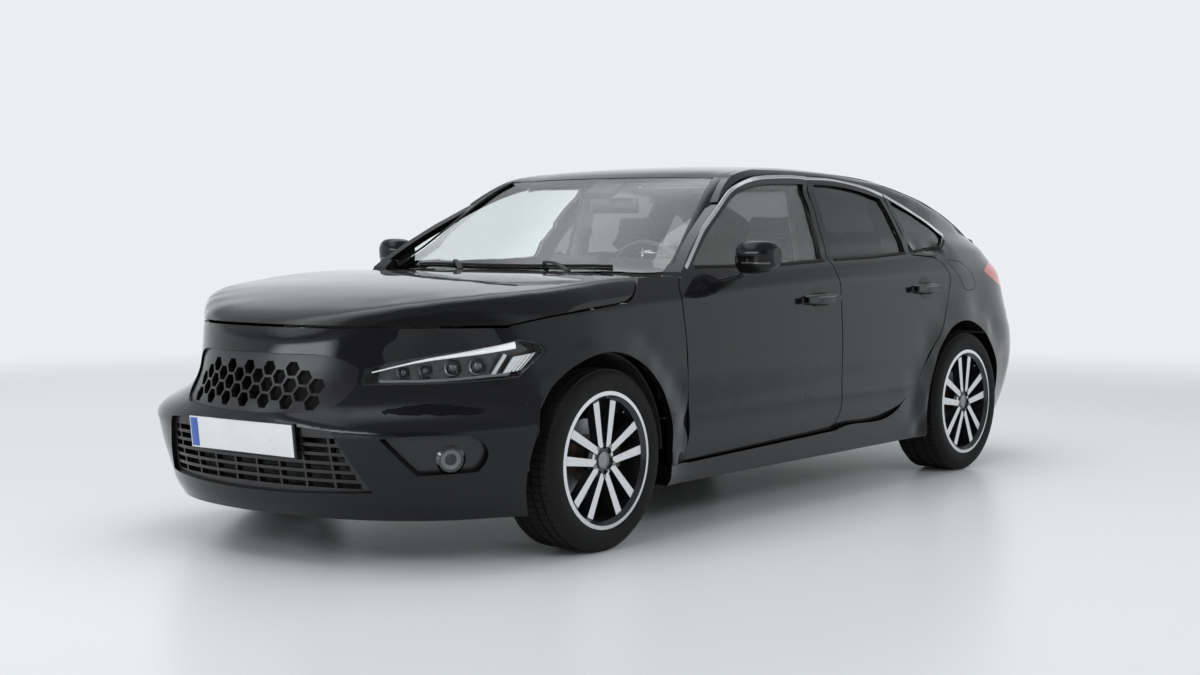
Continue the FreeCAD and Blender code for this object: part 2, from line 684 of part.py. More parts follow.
def tail_shell_stations(first):
    """Rays over the tailgate: upright along the glass, then turning down to the back."""
    stations = [(x, 700.0, 0.0, 1.0) for x in spread(first, rear(-480), 10)]
    for angle in list(spread(8.0, 56.0, 9)) + list(spread(62.0, 98.0, 8)):
        a = math.radians(angle)
        stations.append((rear(-480), 700.0, -math.sin(a), math.cos(a)))
    return stations


TAIL_WIDTHS = [0, 150, 300, 430, 530, 600, 660]
TAILGATE_DEPTH = 46.0
TAILGATE_FOOT = 706.0


def gate_shell(near, far):
    """Shell between two depths below the tailgate's skin."""
    widths = [-y for y in reversed(TAIL_WIDTHS[1:])] + TAIL_WIDTHS
    stations = tail_shell_stations(TAILGATE_TOP + 60)
    return thick(top_grid(stations, widths, near), top_grid(stations, widths, far))


def tailgate():
    """Lifting rear door: frame round the glass, lip and the panel between the lamps."""
    gate = gate_shell(0.0, TAILGATE_DEPTH)
    gap = SHUT_GAP / 2
    edge = polygon((TAILGATE_TOP - gap, ROOF_EDGE + 6), (rear(-150), TAILGATE_EDGE - gap - 3),
                   (TAIL_X - 50, TAILGATE_EDGE - gap - 3), (TAIL_X - 50, -TAILGATE_EDGE + gap + 3),
                   (rear(-150), -TAILGATE_EDGE + gap + 3), (TAILGATE_TOP - gap, -ROOF_EDGE - 6))
    gate = gate.common(plan_prism(edge, TAILGATE_FOOT, 1500.0))
    gate = gate.cut(plan_prism(rear_window(), 900.0, 1500.0))
    gate = gate.cut(both_sides(gate_lamp(SEAT_GAP)))
    return biggest(gate)


def rear_window():
    return [[(rear(225), 500), (rear(225), -500)],
            [(rear(225), -500), (rear(-100), -560), (rear(-560), -566)],
            [(rear(-560), -566), (rear(-600), -300), (rear(-610), 0), (rear(-600), 300), (rear(-560), 566)],
            [(rear(-560), 566), (rear(-100), 560), (rear(225), 500)]]


def tailgate_glass():
    grid = []
    for x in spread(rear(250), rear(-640), 12):
        grid.append([hit(body_field, (x, y, 800), (0, 0, 1), 900.0) - Vec(0, 0, 4) for y in
                     spread(-600.0, 600.0, 11)])
    glass = slab(grid, Vec(0, 0, -GLASS_THICKNESS))
    return biggest(glass.common(plan_prism(grown(rear_window(), -SEAT_GAP), 900.0, 1500.0)))


# Nose
def nose_grid(heights, inset=0.0, angle_to=8.0):
    half = [90.0 - a for a in spread(0.0, 90.0 - angle_to, 12)] + [0.0]
    half = sorted(set(half))
    angles = [-a for a in reversed(half[1:])] + half
    grid = []
    for angle in angles:
        a = math.radians(angle)
        row = []
        for z in heights:
            point = hit(body_field, (FRONT_X, 0, z), (math.cos(a), math.sin(a), 0), 1300.0)
            row.append(Vec(point.x - inset * math.cos(a), point.y - inset * math.sin(a), point.z))
        grid.append(row)
    return grid


NOSE_HEIGHTS = [GROUND_CLEARANCE, 200, 240, 300, 360, 420, 460, 490, 515, 540, 565, 600, 640, 690, 735,
                765, 782, 792, NOSE_TOP]
BUMPER_SKIN = 22.0
LAMP_DEPTH = 70.0
UPPER_GRILLE = [[(404, 664), (340, 700), (180, 711), (0, 714), (-180, 711), (-340, 700), (-404, 664)],
                [(-404, 664), (-404, 612)], [(-404, 612), (-372, 548), (-318, 524)],
                [(-318, 524), (0, 512), (318, 524)], [(318, 524), (372, 548), (404, 612)],
                [(404, 612), (404, 664)]]
LOWER_GRILLE = [[(404, 468), (0, 484), (-404, 468)], [(-404, 468), (-508, 262)],
                [(-508, 262), (0, 246), (508, 262)], [(508, 262), (404, 468)]]
POCKET = [[(560, 446), (690, 458), (778, 456)], [(778, 456), (792, 420), (766, 330)],
          [(766, 330), (640, 322)], [(640, 322), (560, 446)]]


def front_prism(segments, x_from, x_to):
    face = outline(segments, lambda y, z: Vec(x_from, y, z))
    return face.extrude(Vec(x_to - x_from, 0, 0))


def both_sides(shape):
    return Part.makeCompound([shape, mirrored(shape)])


def front_bumper():
    shell = thick(nose_grid(NOSE_HEIGHTS), nose_grid(NOSE_HEIGHTS, BUMPER_SKIN))
    shell = shell.cut(front_prism(UPPER_GRILLE, front(500), front(1000)))
    shell = shell.cut(front_prism(LOWER_GRILLE, front(500), front(1000)))
    wing_area = [[BUMPER_FOOT, LAMP_FOOT], [LAMP_FOOT, LAMP_TIP],
                 [LAMP_TIP, (front(300), 748), LAMP_TOP[0]], [LAMP_TOP[0], LAMP_SIDE[0]],
                 [LAMP_SIDE[0], (front(377), 900)], [(front(377), 900), (front(-100), 900)],
                 [(front(-100), 900), (front(-100), 430)], [(front(-100), 430), BUMPER_FOOT]]
    wing_prism = side_prism(grown(wing_area, SEAM - SHUT_GAP / 2), -1000.0, 1000.0)
    shell = shell.cut(wing_prism)
    shell = shell.cut(side_prism(LAMP_OUTLINE, 330.0, 1000.0))
    shell = shell.cut(mirrored(side_prism(LAMP_OUTLINE, 330.0, 1000.0)))
    shell = shell.cut(both_sides(front_prism(POCKET, front(350), front(1000))))
    shell = shell.cut(box(front(-200), -1000, 0, front(290), 1000, 900))
    for side in (arch_cutter(FRONT_X, ARCH_RADIUS), mirrored(arch_cutter(FRONT_X, ARCH_RADIUS))):
        shell = shell.cut(side)
    return biggest(shell)


def headlamp():
    heights = [590, 620, 650, 680, 710, 740, 760, 775]
    grid, inner = nose_grid(heights), nose_grid(heights, LAMP_DEPTH)
    lamp = thick(grid, inner).common(side_prism(grown(LAMP_OUTLINE, -SEAM), 0.0, 1000.0))
    lamp = lamp.cut(front_prism(grown(UPPER_GRILLE, 1.0), front(500), front(1000)))
    return biggest(lamp)


def grille(opening, heights, inset, depth, holes):
    """Panel set back in an opening, pierced by a pattern of holes."""
    plate = thick(nose_grid(heights, inset), nose_grid(heights, inset + depth))
    plate = plate.common(front_prism(grown(opening, -SEAT_GAP), front(500), front(1000)))
    return plate.cut(Part.makeCompound(holes)) if holes else plate


def hexagon(y, z, radius, x_from, x_to):
    corners = [(y + radius * math.cos(math.radians(60 * i)), z + radius * math.sin(math.radians(60 * i)))
               for i in range(6)]
    return front_prism(polygon(*corners), x_from, x_to)


HEX_RADIUS = 27.0
HEX_RIB = 8.0
HEX_CENTRE = 606.0


def upper_grille():
    """Gloss band with a honeycomb field."""
    holes = []
    step_y = 1.5 * HEX_RADIUS + HEX_RIB * 0.87
    step_z = math.sqrt(3) * HEX_RADIUS + HEX_RIB
    for column in range(-6, 7):
        shift = step_z / 2 if column % 2 else 0.0
        for row in range(-2, 2):
            z = HEX_CENTRE + row * step_z + shift
            if abs(column) >= 5 and row not in (-1, 0):
                continue
            if 540 < z < 680:
                holes.append(hexagon(column * step_y, z, HEX_RADIUS, front(500), front(1000)))
    return biggest(grille(UPPER_GRILLE, [500, 540, 580, 620, 660, 700, 730], 10.0, 20.0, holes))


SLAT_PITCH = 30.0
SLAT = 11.0


def lower_grille():
    """Row of flat slats tied by upright ribs, and the blanks in the two side pockets."""
    holes = []
    level = 262.0 + SLAT
    while level + SLAT_PITCH - SLAT < 470:
        for index in range(-4, 5):
            y = index * 108.0
            half = 50.0
            reach = 470.0 - (level - 262.0) * 0.42
            low_y, high_y = max(y - half, -reach), min(y + half, reach)
            if high_y - low_y > 20:
                holes.append(box(front(500), low_y, level, front(1000), high_y, level + SLAT_PITCH - SLAT))
        level += SLAT_PITCH
    centre = grille(LOWER_GRILLE, [235, 270, 320, 380, 430, 460, 500], BUMPER_SKIN - 6, 24.0, holes)
    seat_depth = BUMPER_SKIN + SEAT_GAP
    blanks = thick(nose_grid(NOSE_HEIGHTS, seat_depth), nose_grid(NOSE_HEIGHTS, seat_depth + 12))
    blank = biggest(blanks.common(front_prism(grown(POCKET, 6.0), front(350), front(1000))))
    return Part.makeCompound([biggest(centre), blank, mirrored(blank)])


# Tail
def tail_grid(heights, inset=0.0):
    half = sorted(set(spread(0.0, 82.0, 13)))
    angles = [-a for a in reversed(half[1:])] + half
    grid = []
    for angle in angles:
        a = math.radians(angle)
        row = []
        for z in heights:
            point = hit(body_field, (REAR_X, 0, z), (-math.cos(a), math.sin(a), 0), 1300.0)
            row.append(Vec(point.x + inset * math.cos(a), point.y - inset * math.sin(a), point.z))
        grid.append(row)
    return grid


def rear_bumper():
    heights = [200, 240, 300, 360, 420, 480, 540, 590, 630, 670, BUMPER_TOP]
    shell = thick(tail_grid(heights), tail_grid(heights, BUMPER_SKIN))
    shell = shell.common(side_prism(grown(REAR_BUMPER_AREA, -SEAM), -1000.0, 1000.0))
    for side in (arch_cutter(REAR_X, ARCH_RADIUS), mirrored(arch_cutter(REAR_X, ARCH_RADIUS))):
        shell = shell.cut(side)
    return biggest(shell)


TAIL_LAMP_DEPTH = 40.0
GATE_LAMP_DEPTH = 24.0
GATE_LAMP = [[(628, 850), (628, 962)], [(628, 962), (540, 958), (450, 934), (400, 900)],
             [(400, 900), (470, 872), (628, 850)]]
TAIL_LAMP = [[(rear(-320), 930), (rear(-480), 968), (rear(-700), 975), (TAIL_X - 20, 972)],
             [(TAIL_X - 20, 972), (TAIL_X - 20, 838)], [(TAIL_X - 20, 838), (rear(-560), 842), (rear(-320), 922)],
             [(rear(-320), 922), (rear(-320), 930)]]


def lamp_block(depth, room):
    """Block following the tail's skin. One that makes room for a lamp also reaches out of the skin."""
    heights = spread(815.0, 995.0, 8)
    outward = -12.0 if room else 0.0
    return thick(tail_grid(heights, outward), tail_grid(heights, depth + room))


def tail_lamp(room=0.0):
    """Outer tail lamp on the body's corner, or the room it needs."""
    block = lamp_block(TAIL_LAMP_DEPTH, room)
    return biggest(block.common(side_prism(grown(TAIL_LAMP, room - 1.0), TAILGATE_EDGE - room, 1000.0)))


def gate_lamp(room=0.0):
    """Inner tail lamp on the tailgate, or the room it needs."""
    block = lamp_block(GATE_LAMP_DEPTH, room)
    outline_segments = grown(GATE_LAMP, room) if room else GATE_LAMP
    return biggest(block.common(front_prism(outline_segments, TAIL_X - 50, rear(-300))))


# Running gear
def revolved(points, centre_y, x, z):
    """Solid of revolution about a wheel's axis, from points of offset and radius."""
    face = outline(polygon(*points), lambda a, r: Vec(x, centre_y + a, z + r))
    return face.revolve(Vec(x, centre_y, z), Vec(0, 1, 0), 360)


FLANGE_RISE = 14.0


def tyre(x, centre_y, side):
    """Tyre whose beads sit inside the rim's flanges."""
    half, outer, bead = TYRE_WIDTH / 2, TYRE_RADIUS, RIM_DIAMETER / 2
    flange = half * 0.892
    points = [(-half * 0.86, bead), (-flange, bead + FLANGE_RISE + SEAT_GAP),
              (-half * 0.99, bead + 0.30 * TYRE_SIDEWALL),
              (-half, bead + 0.52 * TYRE_SIDEWALL), (-half * 0.965, outer - 0.20 * TYRE_SIDEWALL),
              (-half * 0.88, outer - 0.05 * TYRE_SIDEWALL), (-half * 0.74, outer - 2.0), (-half * 0.4, outer)]
    points += [(-a, r) for a, r in reversed(points)]
    points += [(half * 0.80, bead), (half * 0.80, bead - 1.0), (-half * 0.80, bead - 1.0), (-half * 0.80, bead)]
    return revolved([(side * a, r) for a, r in points], centre_y, x, TYRE_RADIUS)


STUB_RADIUS = 30.0
DISC_RADIUS = 140.0


def disc(x, centre_y, side):
    """Brake disc and hub, bored to run on its stub."""
    bore = STUB_RADIUS + SEAT_GAP
    points = [(10, 60), (62, 60), (62, bore), (-24, bore), (-24, 44), (-6, 60), (-6, DISC_RADIUS), (10, DISC_RADIUS)]
    return revolved([(side * a, r) for a, r in points], centre_y, x, TYRE_RADIUS)


SPOKE_PAIRS = 5
HUB_RADIUS = 74.0


def rim(x, centre_y, side):
    """Cast wheel: barrel, hub and five pairs of spokes."""
    half = TYRE_WIDTH / 2 - 6.0
    bead = RIM_DIAMETER / 2
    barrel = [(-half, bead + 12), (-half + 6, bead + 12), (-half + 10, bead - 1.5), (-half * 0.80, bead - 1.5),
              (half * 0.80, bead - 1.5), (half - 10, bead - 1.5), (half - 6, bead + FLANGE_RISE), (half, bead + FLANGE_RISE),
              (half + 2, bead), (half - 14, bead - 14), (-half * 0.5, bead - 14), (-half, bead)]
    wheel = revolved([(side * a, r) for a, r in barrel], centre_y, x, TYRE_RADIUS)
    hub = [(62.5, 0), (62.5, HUB_RADIUS), (84, HUB_RADIUS), (92, 60), (92, 0)]
    face = outline(polygon(*[(side * a, r) for a, r in hub]), lambda a, r: Vec(x, centre_y + a, TYRE_RADIUS + r))
    pieces = [wheel, face.revolve(Vec(x, centre_y, TYRE_RADIUS), Vec(0, 1, 0), 360)]
    for pair in range(SPOKE_PAIRS):
        for lean in (-1, 1):
            spoke = outline(polygon((lean * 8, 40), (lean * 34, 50), (lean * 66, bead - 16), (lean * 34, bead - 8)),
                            lambda a, r: Vec(x + a, centre_y, TYRE_RADIUS + r))
            spoke = spoke.extrude(Vec(0, side * 34, 0))
            spoke.translate(Vec(0, side * 66, 0))
            spoke.rotate(Vec(x, centre_y, TYRE_RADIUS), Vec(0, 1, 0), pair * 360.0 / SPOKE_PAIRS)
            pieces.append(spoke)
    return fused(*pieces)


KINGPIN_INSET = 52.0
KNUCKLE_DROP = 95.0


def caliper(x, centre_y, heading):
    """Brake caliper reaching over the disc, with its bracket."""
    def block(near, far, y_from, y_to, half):
        return box(x + heading * near, centre_y + y_from, TYRE_RADIUS - half,
                   x + heading * far, centre_y + y_to, TYRE_RADIUS + half)
    return fused(block(95, 165, -46, -12, 45), block(95, 165, 16, 36, 40), block(147, 172, -46, 36, 45),
                 block(20, 120, -80, -36, 30), block(80, 120, -46, -30, 30))


def knuckle(x, centre_y):
    """Upright with its hub stub, strut clamp, steering arm and caliper."""
    pin_y = centre_y - KINGPIN_INSET
    body = box(x - 34, pin_y - 26, TYRE_RADIUS - KNUCKLE_DROP, x + 34, pin_y + 16, TYRE_RADIUS + 90)
    stub = cylinder(STUB_RADIUS, Vec(x, pin_y, TYRE_RADIUS), Vec(x, centre_y + 40, TYRE_RADIUS))
    foot = box(x - 30, pin_y - 66, TYRE_RADIUS + 40, x + 30, pin_y, TYRE_RADIUS + 90)
    arm = box(x - 150, pin_y - 60, TYRE_RADIUS - 60, x - 20, pin_y - 20, TYRE_RADIUS - 30)
    return fused(body, stub, foot, arm, caliper(x, centre_y, -1))


# Details on the doors
def loft(*rings):
    """Smooth solid through closed rings of points."""
    wires = []
    for ring in rings:
        curve = Part.BSplineCurve()
        curve.interpolate(ring, PeriodicFlag=True)
        wires.append(Part.Wire(curve.toShape()))
    return Part.makeLoft(wires, True)


def oval(centre, half_a, half_b, axis_a, axis_b, power=2.6, count=12):
    ring = []
    for i in range(count):
        angle = 2 * math.pi * i / count
        c, s = math.cos(angle), math.sin(angle)
        a = math.copysign(abs(c) ** (2 / power), c) * half_a
        b = math.copysign(abs(s) ** (2 / power), s) * half_b
        ring.append(centre + axis_a * a + axis_b * b)
    return ring


MIRROR_X = front(-840)
MIRROR_Z = 1020.0
MIRROR_INNER = 878.0
MIRROR_OUTER = 1041.0


def mirror_housing():
    """Door mirror on its stalk, seated on the shoulder of the door."""
    x_axis, z_axis = Vec(1, 0, 0), Vec(0, 0, 1)
    rings = []
    for share, size, forward in ((0.0, 0.62, 0), (0.16, 0.94, 4), (0.5, 1.0, 8), (0.82, 0.9, 0), (1.0, 0.5, -14)):
        y = MIRROR_INNER + (MIRROR_OUTER - MIRROR_INNER) * share
        rings.append(oval(Vec(MIRROR_X + forward, y, MIRROR_Z + 6 * share), 58 * size, 64 * size, x_axis, z_axis))
    shell = loft(*rings)
    shell = shell.cut(box(MIRROR_X - 200, 800, 900, MIRROR_X - 44, 1100, 1200))
    y_skin = hit(side_field, (MIRROR_X + 20, 0, 934), (0, 1, 0), 1300.0).y
    base = loft(oval(Vec(MIRROR_X + 22, y_skin - 6, 930), 62, 13, x_axis, z_axis),
                oval(Vec(MIRROR_X + 14, y_skin + 30, 944), 36, 11, x_axis, z_axis),
                oval(Vec(MIRROR_X + 6, MIRROR_INNER + 34, 968), 30, 16, x_axis, z_axis))
    return fused(shell, base)


def door_handle(x_from, x_to, z):
    """Pull handle standing off the door on its two feet."""
    skin_y = hit(side_field, ((x_from + x_to) / 2, 0, z), (0, 1, 0), 1300.0).y
    grip = Part.makeBox(x_to - x_from, 14, 26, Vec(x_from, skin_y + 22, z - 13))
    grip = grip.makeFillet(6.0, grip.Edges)
    feet = [box(x - 14, skin_y - 20, z - 11, x + 14, skin_y + 26, z + 11) for x in (x_from + 18, x_to - 18)]
    return fused(grip, *feet)


# Body
FLOOR_Z = 168.0
FLOOR_WALL = 14.0
BOOT_FLOOR_Z = 340.0
BOOT_END = rear(-800)
BOOT_END_Z = 420.0
TUNNEL_HALF = 110.0
TUNNEL_WALL = 14.0
PIPE_Z = 205.0
PIPE_RADIUS = 24.0


def floor_pan():
    """Floor with its hollow tunnel, rising under the rear seat to the boot."""
    low, wall = FLOOR_Z, FLOOR_WALL
    under = [(front(-400), 420), (front(-470), low), (rear(640), low), (rear(620), BOOT_FLOOR_Z),
             (rear(-560), BOOT_FLOOR_Z), (BOOT_END, BOOT_END_Z)]
    upper = [(front(-400) - wall, 420 + wall), (front(-480), low + wall), (rear(654), low + wall),
             (rear(634), BOOT_FLOOR_Z + wall), (rear(-560), BOOT_FLOOR_Z + wall), (BOOT_END, BOOT_END_Z + wall)]
    face = outline(polygon(*(under + list(reversed(upper)))), lambda x, z: Vec(x, -SILL_INNER, z))
    pan = face.extrude(Vec(0, 2 * SILL_INNER, 0))
    reach = ARCH_RADIUS + HOUSING_WALL + SEAT_GAP
    for side in (1, -1):
        pan = pan.cut(box(REAR_X - reach, side * (HOUSING_INNER - SEAT_GAP), 0, REAR_X + reach, side * 900, 900))
    tunnel = side_prism(polygon((front(-486), low + wall), (rear(664), low + wall), (rear(656), low + 110),
                                (front(-456), low + 130)), -TUNNEL_HALF, TUNNEL_HALF)
    channel_half = TUNNEL_HALF - TUNNEL_WALL
    channel = box(rear(600), -channel_half, 100, front(-380), channel_half, low + 110 - TUNNEL_WALL)
    heights = [200, 240, 300, 360, 420, 480, 540, 590, 630, 670, BUMPER_TOP]
    corners = thick(tail_grid(heights, -200.0), tail_grid(heights, BUMPER_SKIN + SHUT_GAP))
    return biggest(fused(pan, tunnel).cut(channel).cut(corners))


HOUSING_INNER = 560.0
HOUSING_WALL = 6.0


def wheel_housing(axle_x, y_inner, y_outer, radius):
    """Liner over a wheel, closed on its inner side."""
    ring = Part.makeCylinder(radius + HOUSING_WALL, y_outer - y_inner, Vec(axle_x, y_inner, TYRE_RADIUS), Vec(0, 1, 0))
    ring = ring.cut(Part.makeCylinder(radius, y_outer - y_inner - HOUSING_WALL,
                                      Vec(axle_x, y_inner + HOUSING_WALL, TYRE_RADIUS), Vec(0, 1, 0)))
    return ring.common(box(axle_x - 500, y_inner, TYRE_RADIUS, axle_x + 500, y_outer, 1000))


def middle_pillar():
    """Post between the doors, kept inside the doors' inner faces."""
    side_view = polygon((rear(1190), 200), (rear(1080), 200), (rear(1040), 1000), (rear(960), 1345),
                        (rear(1000), 1345), (rear(1110), 1000))
    end_view = polygon((SILL_INNER, 200), (742, 200), (742, 960), (590, 1330), (566, 1368), (540, 1362),
                       (545, 1330), (SILL_INNER, 940))
    face = outline(end_view, lambda y, z: Vec(rear(1300), y, z))
    return face.extrude(Vec(400, 0, 0)).common(side_prism(side_view, 0, 900))


def side_frame():
    """Body side with its inner sill, pillars and rear wheel housing."""
    sill = box(rear(560), SILL_INNER, 176, front(-430), SILL_INNER + SILL_WIDTH, 258)
    post = side_prism(polygon((front(-452), 200), (front(-400), 200), (front(-400), 930), (front(-452), 945)),
                      SCUTTLE_HALF, SILL_INNER + POST_WIDTH)
    post = post.cut(box(front(-500), 0, 0, front(-380), SILL_INNER, BULKHEAD_FOOT))
    housing = wheel_housing(REAR_X, HOUSING_INNER, 800.0, ARCH_RADIUS)
    hinges = [box(front(-478), 770, z, front(-430), 845, z + 46) for z in (380.0, 700.0)]
    room = leaning_prism(FRONT_DOOR_OUTLINE, SEAT_GAP - SHUT_GAP / 2)
    hinges = [hinge.cut(room) for hinge in hinges]
    return fused(body_side(), sill, post, middle_pillar(), housing, door_stop(), *hinges)


def door_stop():
    """Striker in the rear door's shut face, just clear of the closed door."""
    block = box(rear(140), 800, 700, rear(260), 845, 736)
    block = block.common(leaning_prism(REAR_DOOR_OUTLINE, SHUT_GAP / 2 + 1.0))
    return block.cut(leaning_prism(REAR_DOOR_OUTLINE, SEAT_GAP - SHUT_GAP / 2))


SCUTTLE_HALF = SILL_INNER - 40.0


BULKHEAD_FOOT = 420.0 + FLOOR_WALL + SEAT_GAP
BULKHEAD_X = front(-392)


def cowl():
    """Bulkhead and scuttle below the windscreen, with the bonnet's hinge blocks."""
    shape = polygon((BULKHEAD_X, BULKHEAD_FOOT), (BULKHEAD_X, 900), (front(-398), 936), (front(-440), 944),
                    (front(-520), 930), (front(-520), 880), (front(-420), 860), (front(-420), BULKHEAD_FOOT))
    bulkhead = side_prism(shape, -SCUTTLE_HALF, SCUTTLE_HALF)
    room = bonnet_slab(SEAT_GAP)
    hinge = box(BULKHEAD_X - 1, 540, 880, BULKHEAD_X + 34, 580, 948).cut(room)
    return fused(bulkhead, *[biggest(hinge), mirrored(biggest(hinge))])


RAIL_INNER = 405.0
RAIL_OUTER = 460.0
RAIL_LOW = 440.0
RAIL_HIGH = 530.0


def front_frame():
    """Side rails with the strut towers, and the beam behind the bumper."""
    near = BUMPER_SKIN + SEAT_GAP
    beam = thick(nose_grid(NOSE_HEIGHTS, near), nose_grid(NOSE_HEIGHTS, near + 46.0))
    beam = beam.common(box(front(560), -470, RAIL_HIGH - 44, front(1000), 470, RAIL_HIGH - 20))
    pieces = [biggest(beam)]
    for side in (1, -1):
        pieces.append(box(BULKHEAD_X, side * RAIL_INNER, RAIL_LOW, front(748), side * RAIL_OUTER, RAIL_HIGH))
        pieces.append(box(front(-90), side * (RAIL_INNER + 15), RAIL_HIGH, front(90), side * RAIL_OUTER, STRUT_TOP))
        pieces.append(box(front(-90), side * (RAIL_INNER + 15), STRUT_TOP, front(90), side * SILL_INNER, STRUT_TOP + 12))
    return fused(*pieces)


def radiator():
    return box(front(560), -RAIL_INNER, 200, front(600), RAIL_INNER, 720)


def arch_liners():
    """Liners over the front wheels, open at the top for the struts."""
    liner = wheel_housing(FRONT_X, RAIL_OUTER + SEAT_GAP, 846.0, ARCH_RADIUS - HOUSING_WALL - SEAT_GAP)
    liner = liner.cut(box(FRONT_X - 90, 500.0, 640, FRONT_X + 90, 700.0, 800))
    return both_sides(liner)


SUBFRAME_TOP = 244.0
STRUT_TOP = 820.0


ENGINE_HALF = 400.0


def engine_block(room=0.0):
    """Engine and gearbox as one block, or the room they need."""
    return box(front(-270) - room, -ENGINE_HALF - room, SUBFRAME_TOP, front(330) + room, ENGINE_HALF + room, 800)


STRUT_INSET = 120.0
ARM_TOP = 218.0


def front_suspension():
    """Subframe, lower arms with their ball joints, half shafts and struts."""
    pieces = [box(front(-90), -420, 180, front(110), 420, SUBFRAME_TOP)]
    pin_y = FRONT_TRACK / 2 - KINGPIN_INSET
    for side in (1, -1):
        corners = [(front(-200), side * 380), (front(-160), side * 430), (front(-30), side * (pin_y - 40)),
                   (front(-22), side * (pin_y + 22)), (front(22), side * (pin_y + 22)),
                   (front(30), side * (pin_y - 40)), (front(100), side * 380)]
        arm = outline(polygon(*corners), lambda x, y: Vec(x, y, ARM_TOP - 26))
        pieces.append(arm.extrude(Vec(0, 0, 26)))
        joint_top = TYRE_RADIUS - KNUCKLE_DROP - SEAT_GAP
        pieces.append(cylinder(20.0, Vec(FRONT_X, side * pin_y, ARM_TOP), Vec(FRONT_X, side * pin_y, joint_top)))
        shaft = cylinder(14.0, Vec(FRONT_X, side * (ENGINE_HALF - 20), 300), Vec(FRONT_X, side * (pin_y - 48), TYRE_RADIUS))
        pieces.append(shaft.cut(engine_block(SEAT_GAP)))
        pieces.append(box(front(50), side * RAIL_INNER, 200, front(110), side * RAIL_OUTER, RAIL_LOW))
        strut_y = side * (pin_y - STRUT_INSET)
        pieces.append(cylinder(22.0, Vec(FRONT_X, strut_y, 425), Vec(FRONT_X, strut_y, STRUT_TOP)))
        pieces.append(cylinder(58.0, Vec(FRONT_X, strut_y, 652), Vec(FRONT_X, strut_y, 790)))
    return fused(*pieces)


def rear_suspension():
    """Rear axle beam with trailing arms, hub carriers and calipers."""
    beam = box(rear(-40), -540, 236, rear(40), 540, 300)
    inner, outer = REAR_TRACK / 2 - 110, REAR_TRACK / 2 - 70
    carrier = box(rear(-60), inner, 230, rear(60), outer, 400)
    stub = cylinder(STUB_RADIUS, Vec(REAR_X, inner, TYRE_RADIUS), Vec(REAR_X, REAR_TRACK / 2 + 40, TYRE_RADIUS))
    arm = box(rear(-40), 500, 240, rear(450), 550, 300)
    bracket = box(rear(400), 500, 290, rear(450), 550, BOOT_FLOOR_Z)
    link = box(rear(-40), 530, 236, rear(40), inner + 10, 300)
    side = fused(carrier, stub, arm, bracket, link, caliper(REAR_X, REAR_TRACK / 2, 1))
    return fused(beam, side, mirrored(side))


def exhaust():
    """Pipe from the engine through the tunnel to a hung silencer."""
    route = [Vec(front(-200), 0, SUBFRAME_TOP), Vec(front(-200), 0, PIPE_Z), Vec(rear(560), 0, PIPE_Z),
             Vec(rear(260), -200, PIPE_Z), Vec(rear(-450), -200, PIPE_Z)]
    pieces = [cylinder(PIPE_RADIUS, start, end) for start, end in zip(route, route[1:])]
    pieces += [Part.makeSphere(PIPE_RADIUS, corner) for corner in route[1:-1]]
    pieces.append(box(rear(-640), -450, 190, rear(-420), 250, 300))
    for y in (-380, 180):
        pieces.append(box(rear(-500), y, 290, rear(-470), y + 20, BOOT_FLOOR_Z))
    return fused(*pieces)


PANEL_X = rear(-820)


def rear_panel():
    """Panel closing the boot behind the bumper, with the tailgate's seal along its top."""
    near = TAILGATE_DEPTH + SEAT_GAP
    seal = gate_shell(near, near + 30.0).common(box(TAIL_X, -560, TAILGATE_FOOT, rear(-500), 560, 750))
    wall = box(PANEL_X, -560, BOOT_END_Z, BOOT_END, 560, 750)
    wall = wall.cut(gate_shell(-60.0, near))
    return fused(biggest(seal), biggest(wall))


# Cabin
DASH_CLEARANCE = 50.0


def dashboard():
    shape = [[(front(-520), 910), (front(-700), 930), (front(-850), 915), (front(-905), 870)],
             [(front(-905), 870), (front(-880), 720)], [(front(-880), 720), (front(-760), 600)],
             [(front(-760), 600), (front(-520), 560)], [(front(-520), 560), (front(-520), 910)]]
    half = SILL_INNER - DASH_CLEARANCE
    return side_prism(shape, -half, half)


STEERING_Y = 370.0
STEERING_HUB = (front(-985), 905.0)
COLUMN_SLOPE = 26.0
HUB_DEPTH = 20.0


def steering_column():
    """Column behind the steering wheel's hub, in line with its axis."""
    slope = math.radians(COLUMN_SLOPE)
    hub = Vec(STEERING_HUB[0], STEERING_Y, STEERING_HUB[1])
    heading = Vec(math.cos(slope), 0, -math.sin(slope))
    return cylinder(34.0, hub + heading * (HUB_DEPTH + SEAT_GAP), hub + heading * 260.0)


def steering_wheel():
    """Rim, hub and three spokes on the column's slope."""
    ring = Part.makeTorus(182.0, 14.5)
    hub = Part.makeCylinder(62.0, HUB_DEPTH + 14.0, Vec(0, 0, -HUB_DEPTH))
    spokes = [box(-176, -17, -8, 176, 17, 6), box(-14, -176, -8, 14, 0, 6)]
    wheel = fused(ring, hub, *spokes)
    wheel.rotate(Vec(0, 0, 0), Vec(0, 0, 1), -90)
    wheel.rotate(Vec(0, 0, 0), Vec(0, 1, 0), COLUMN_SLOPE - 90)
    wheel.translate(Vec(STEERING_HUB[0], STEERING_Y, STEERING_HUB[1]))
    return wheel


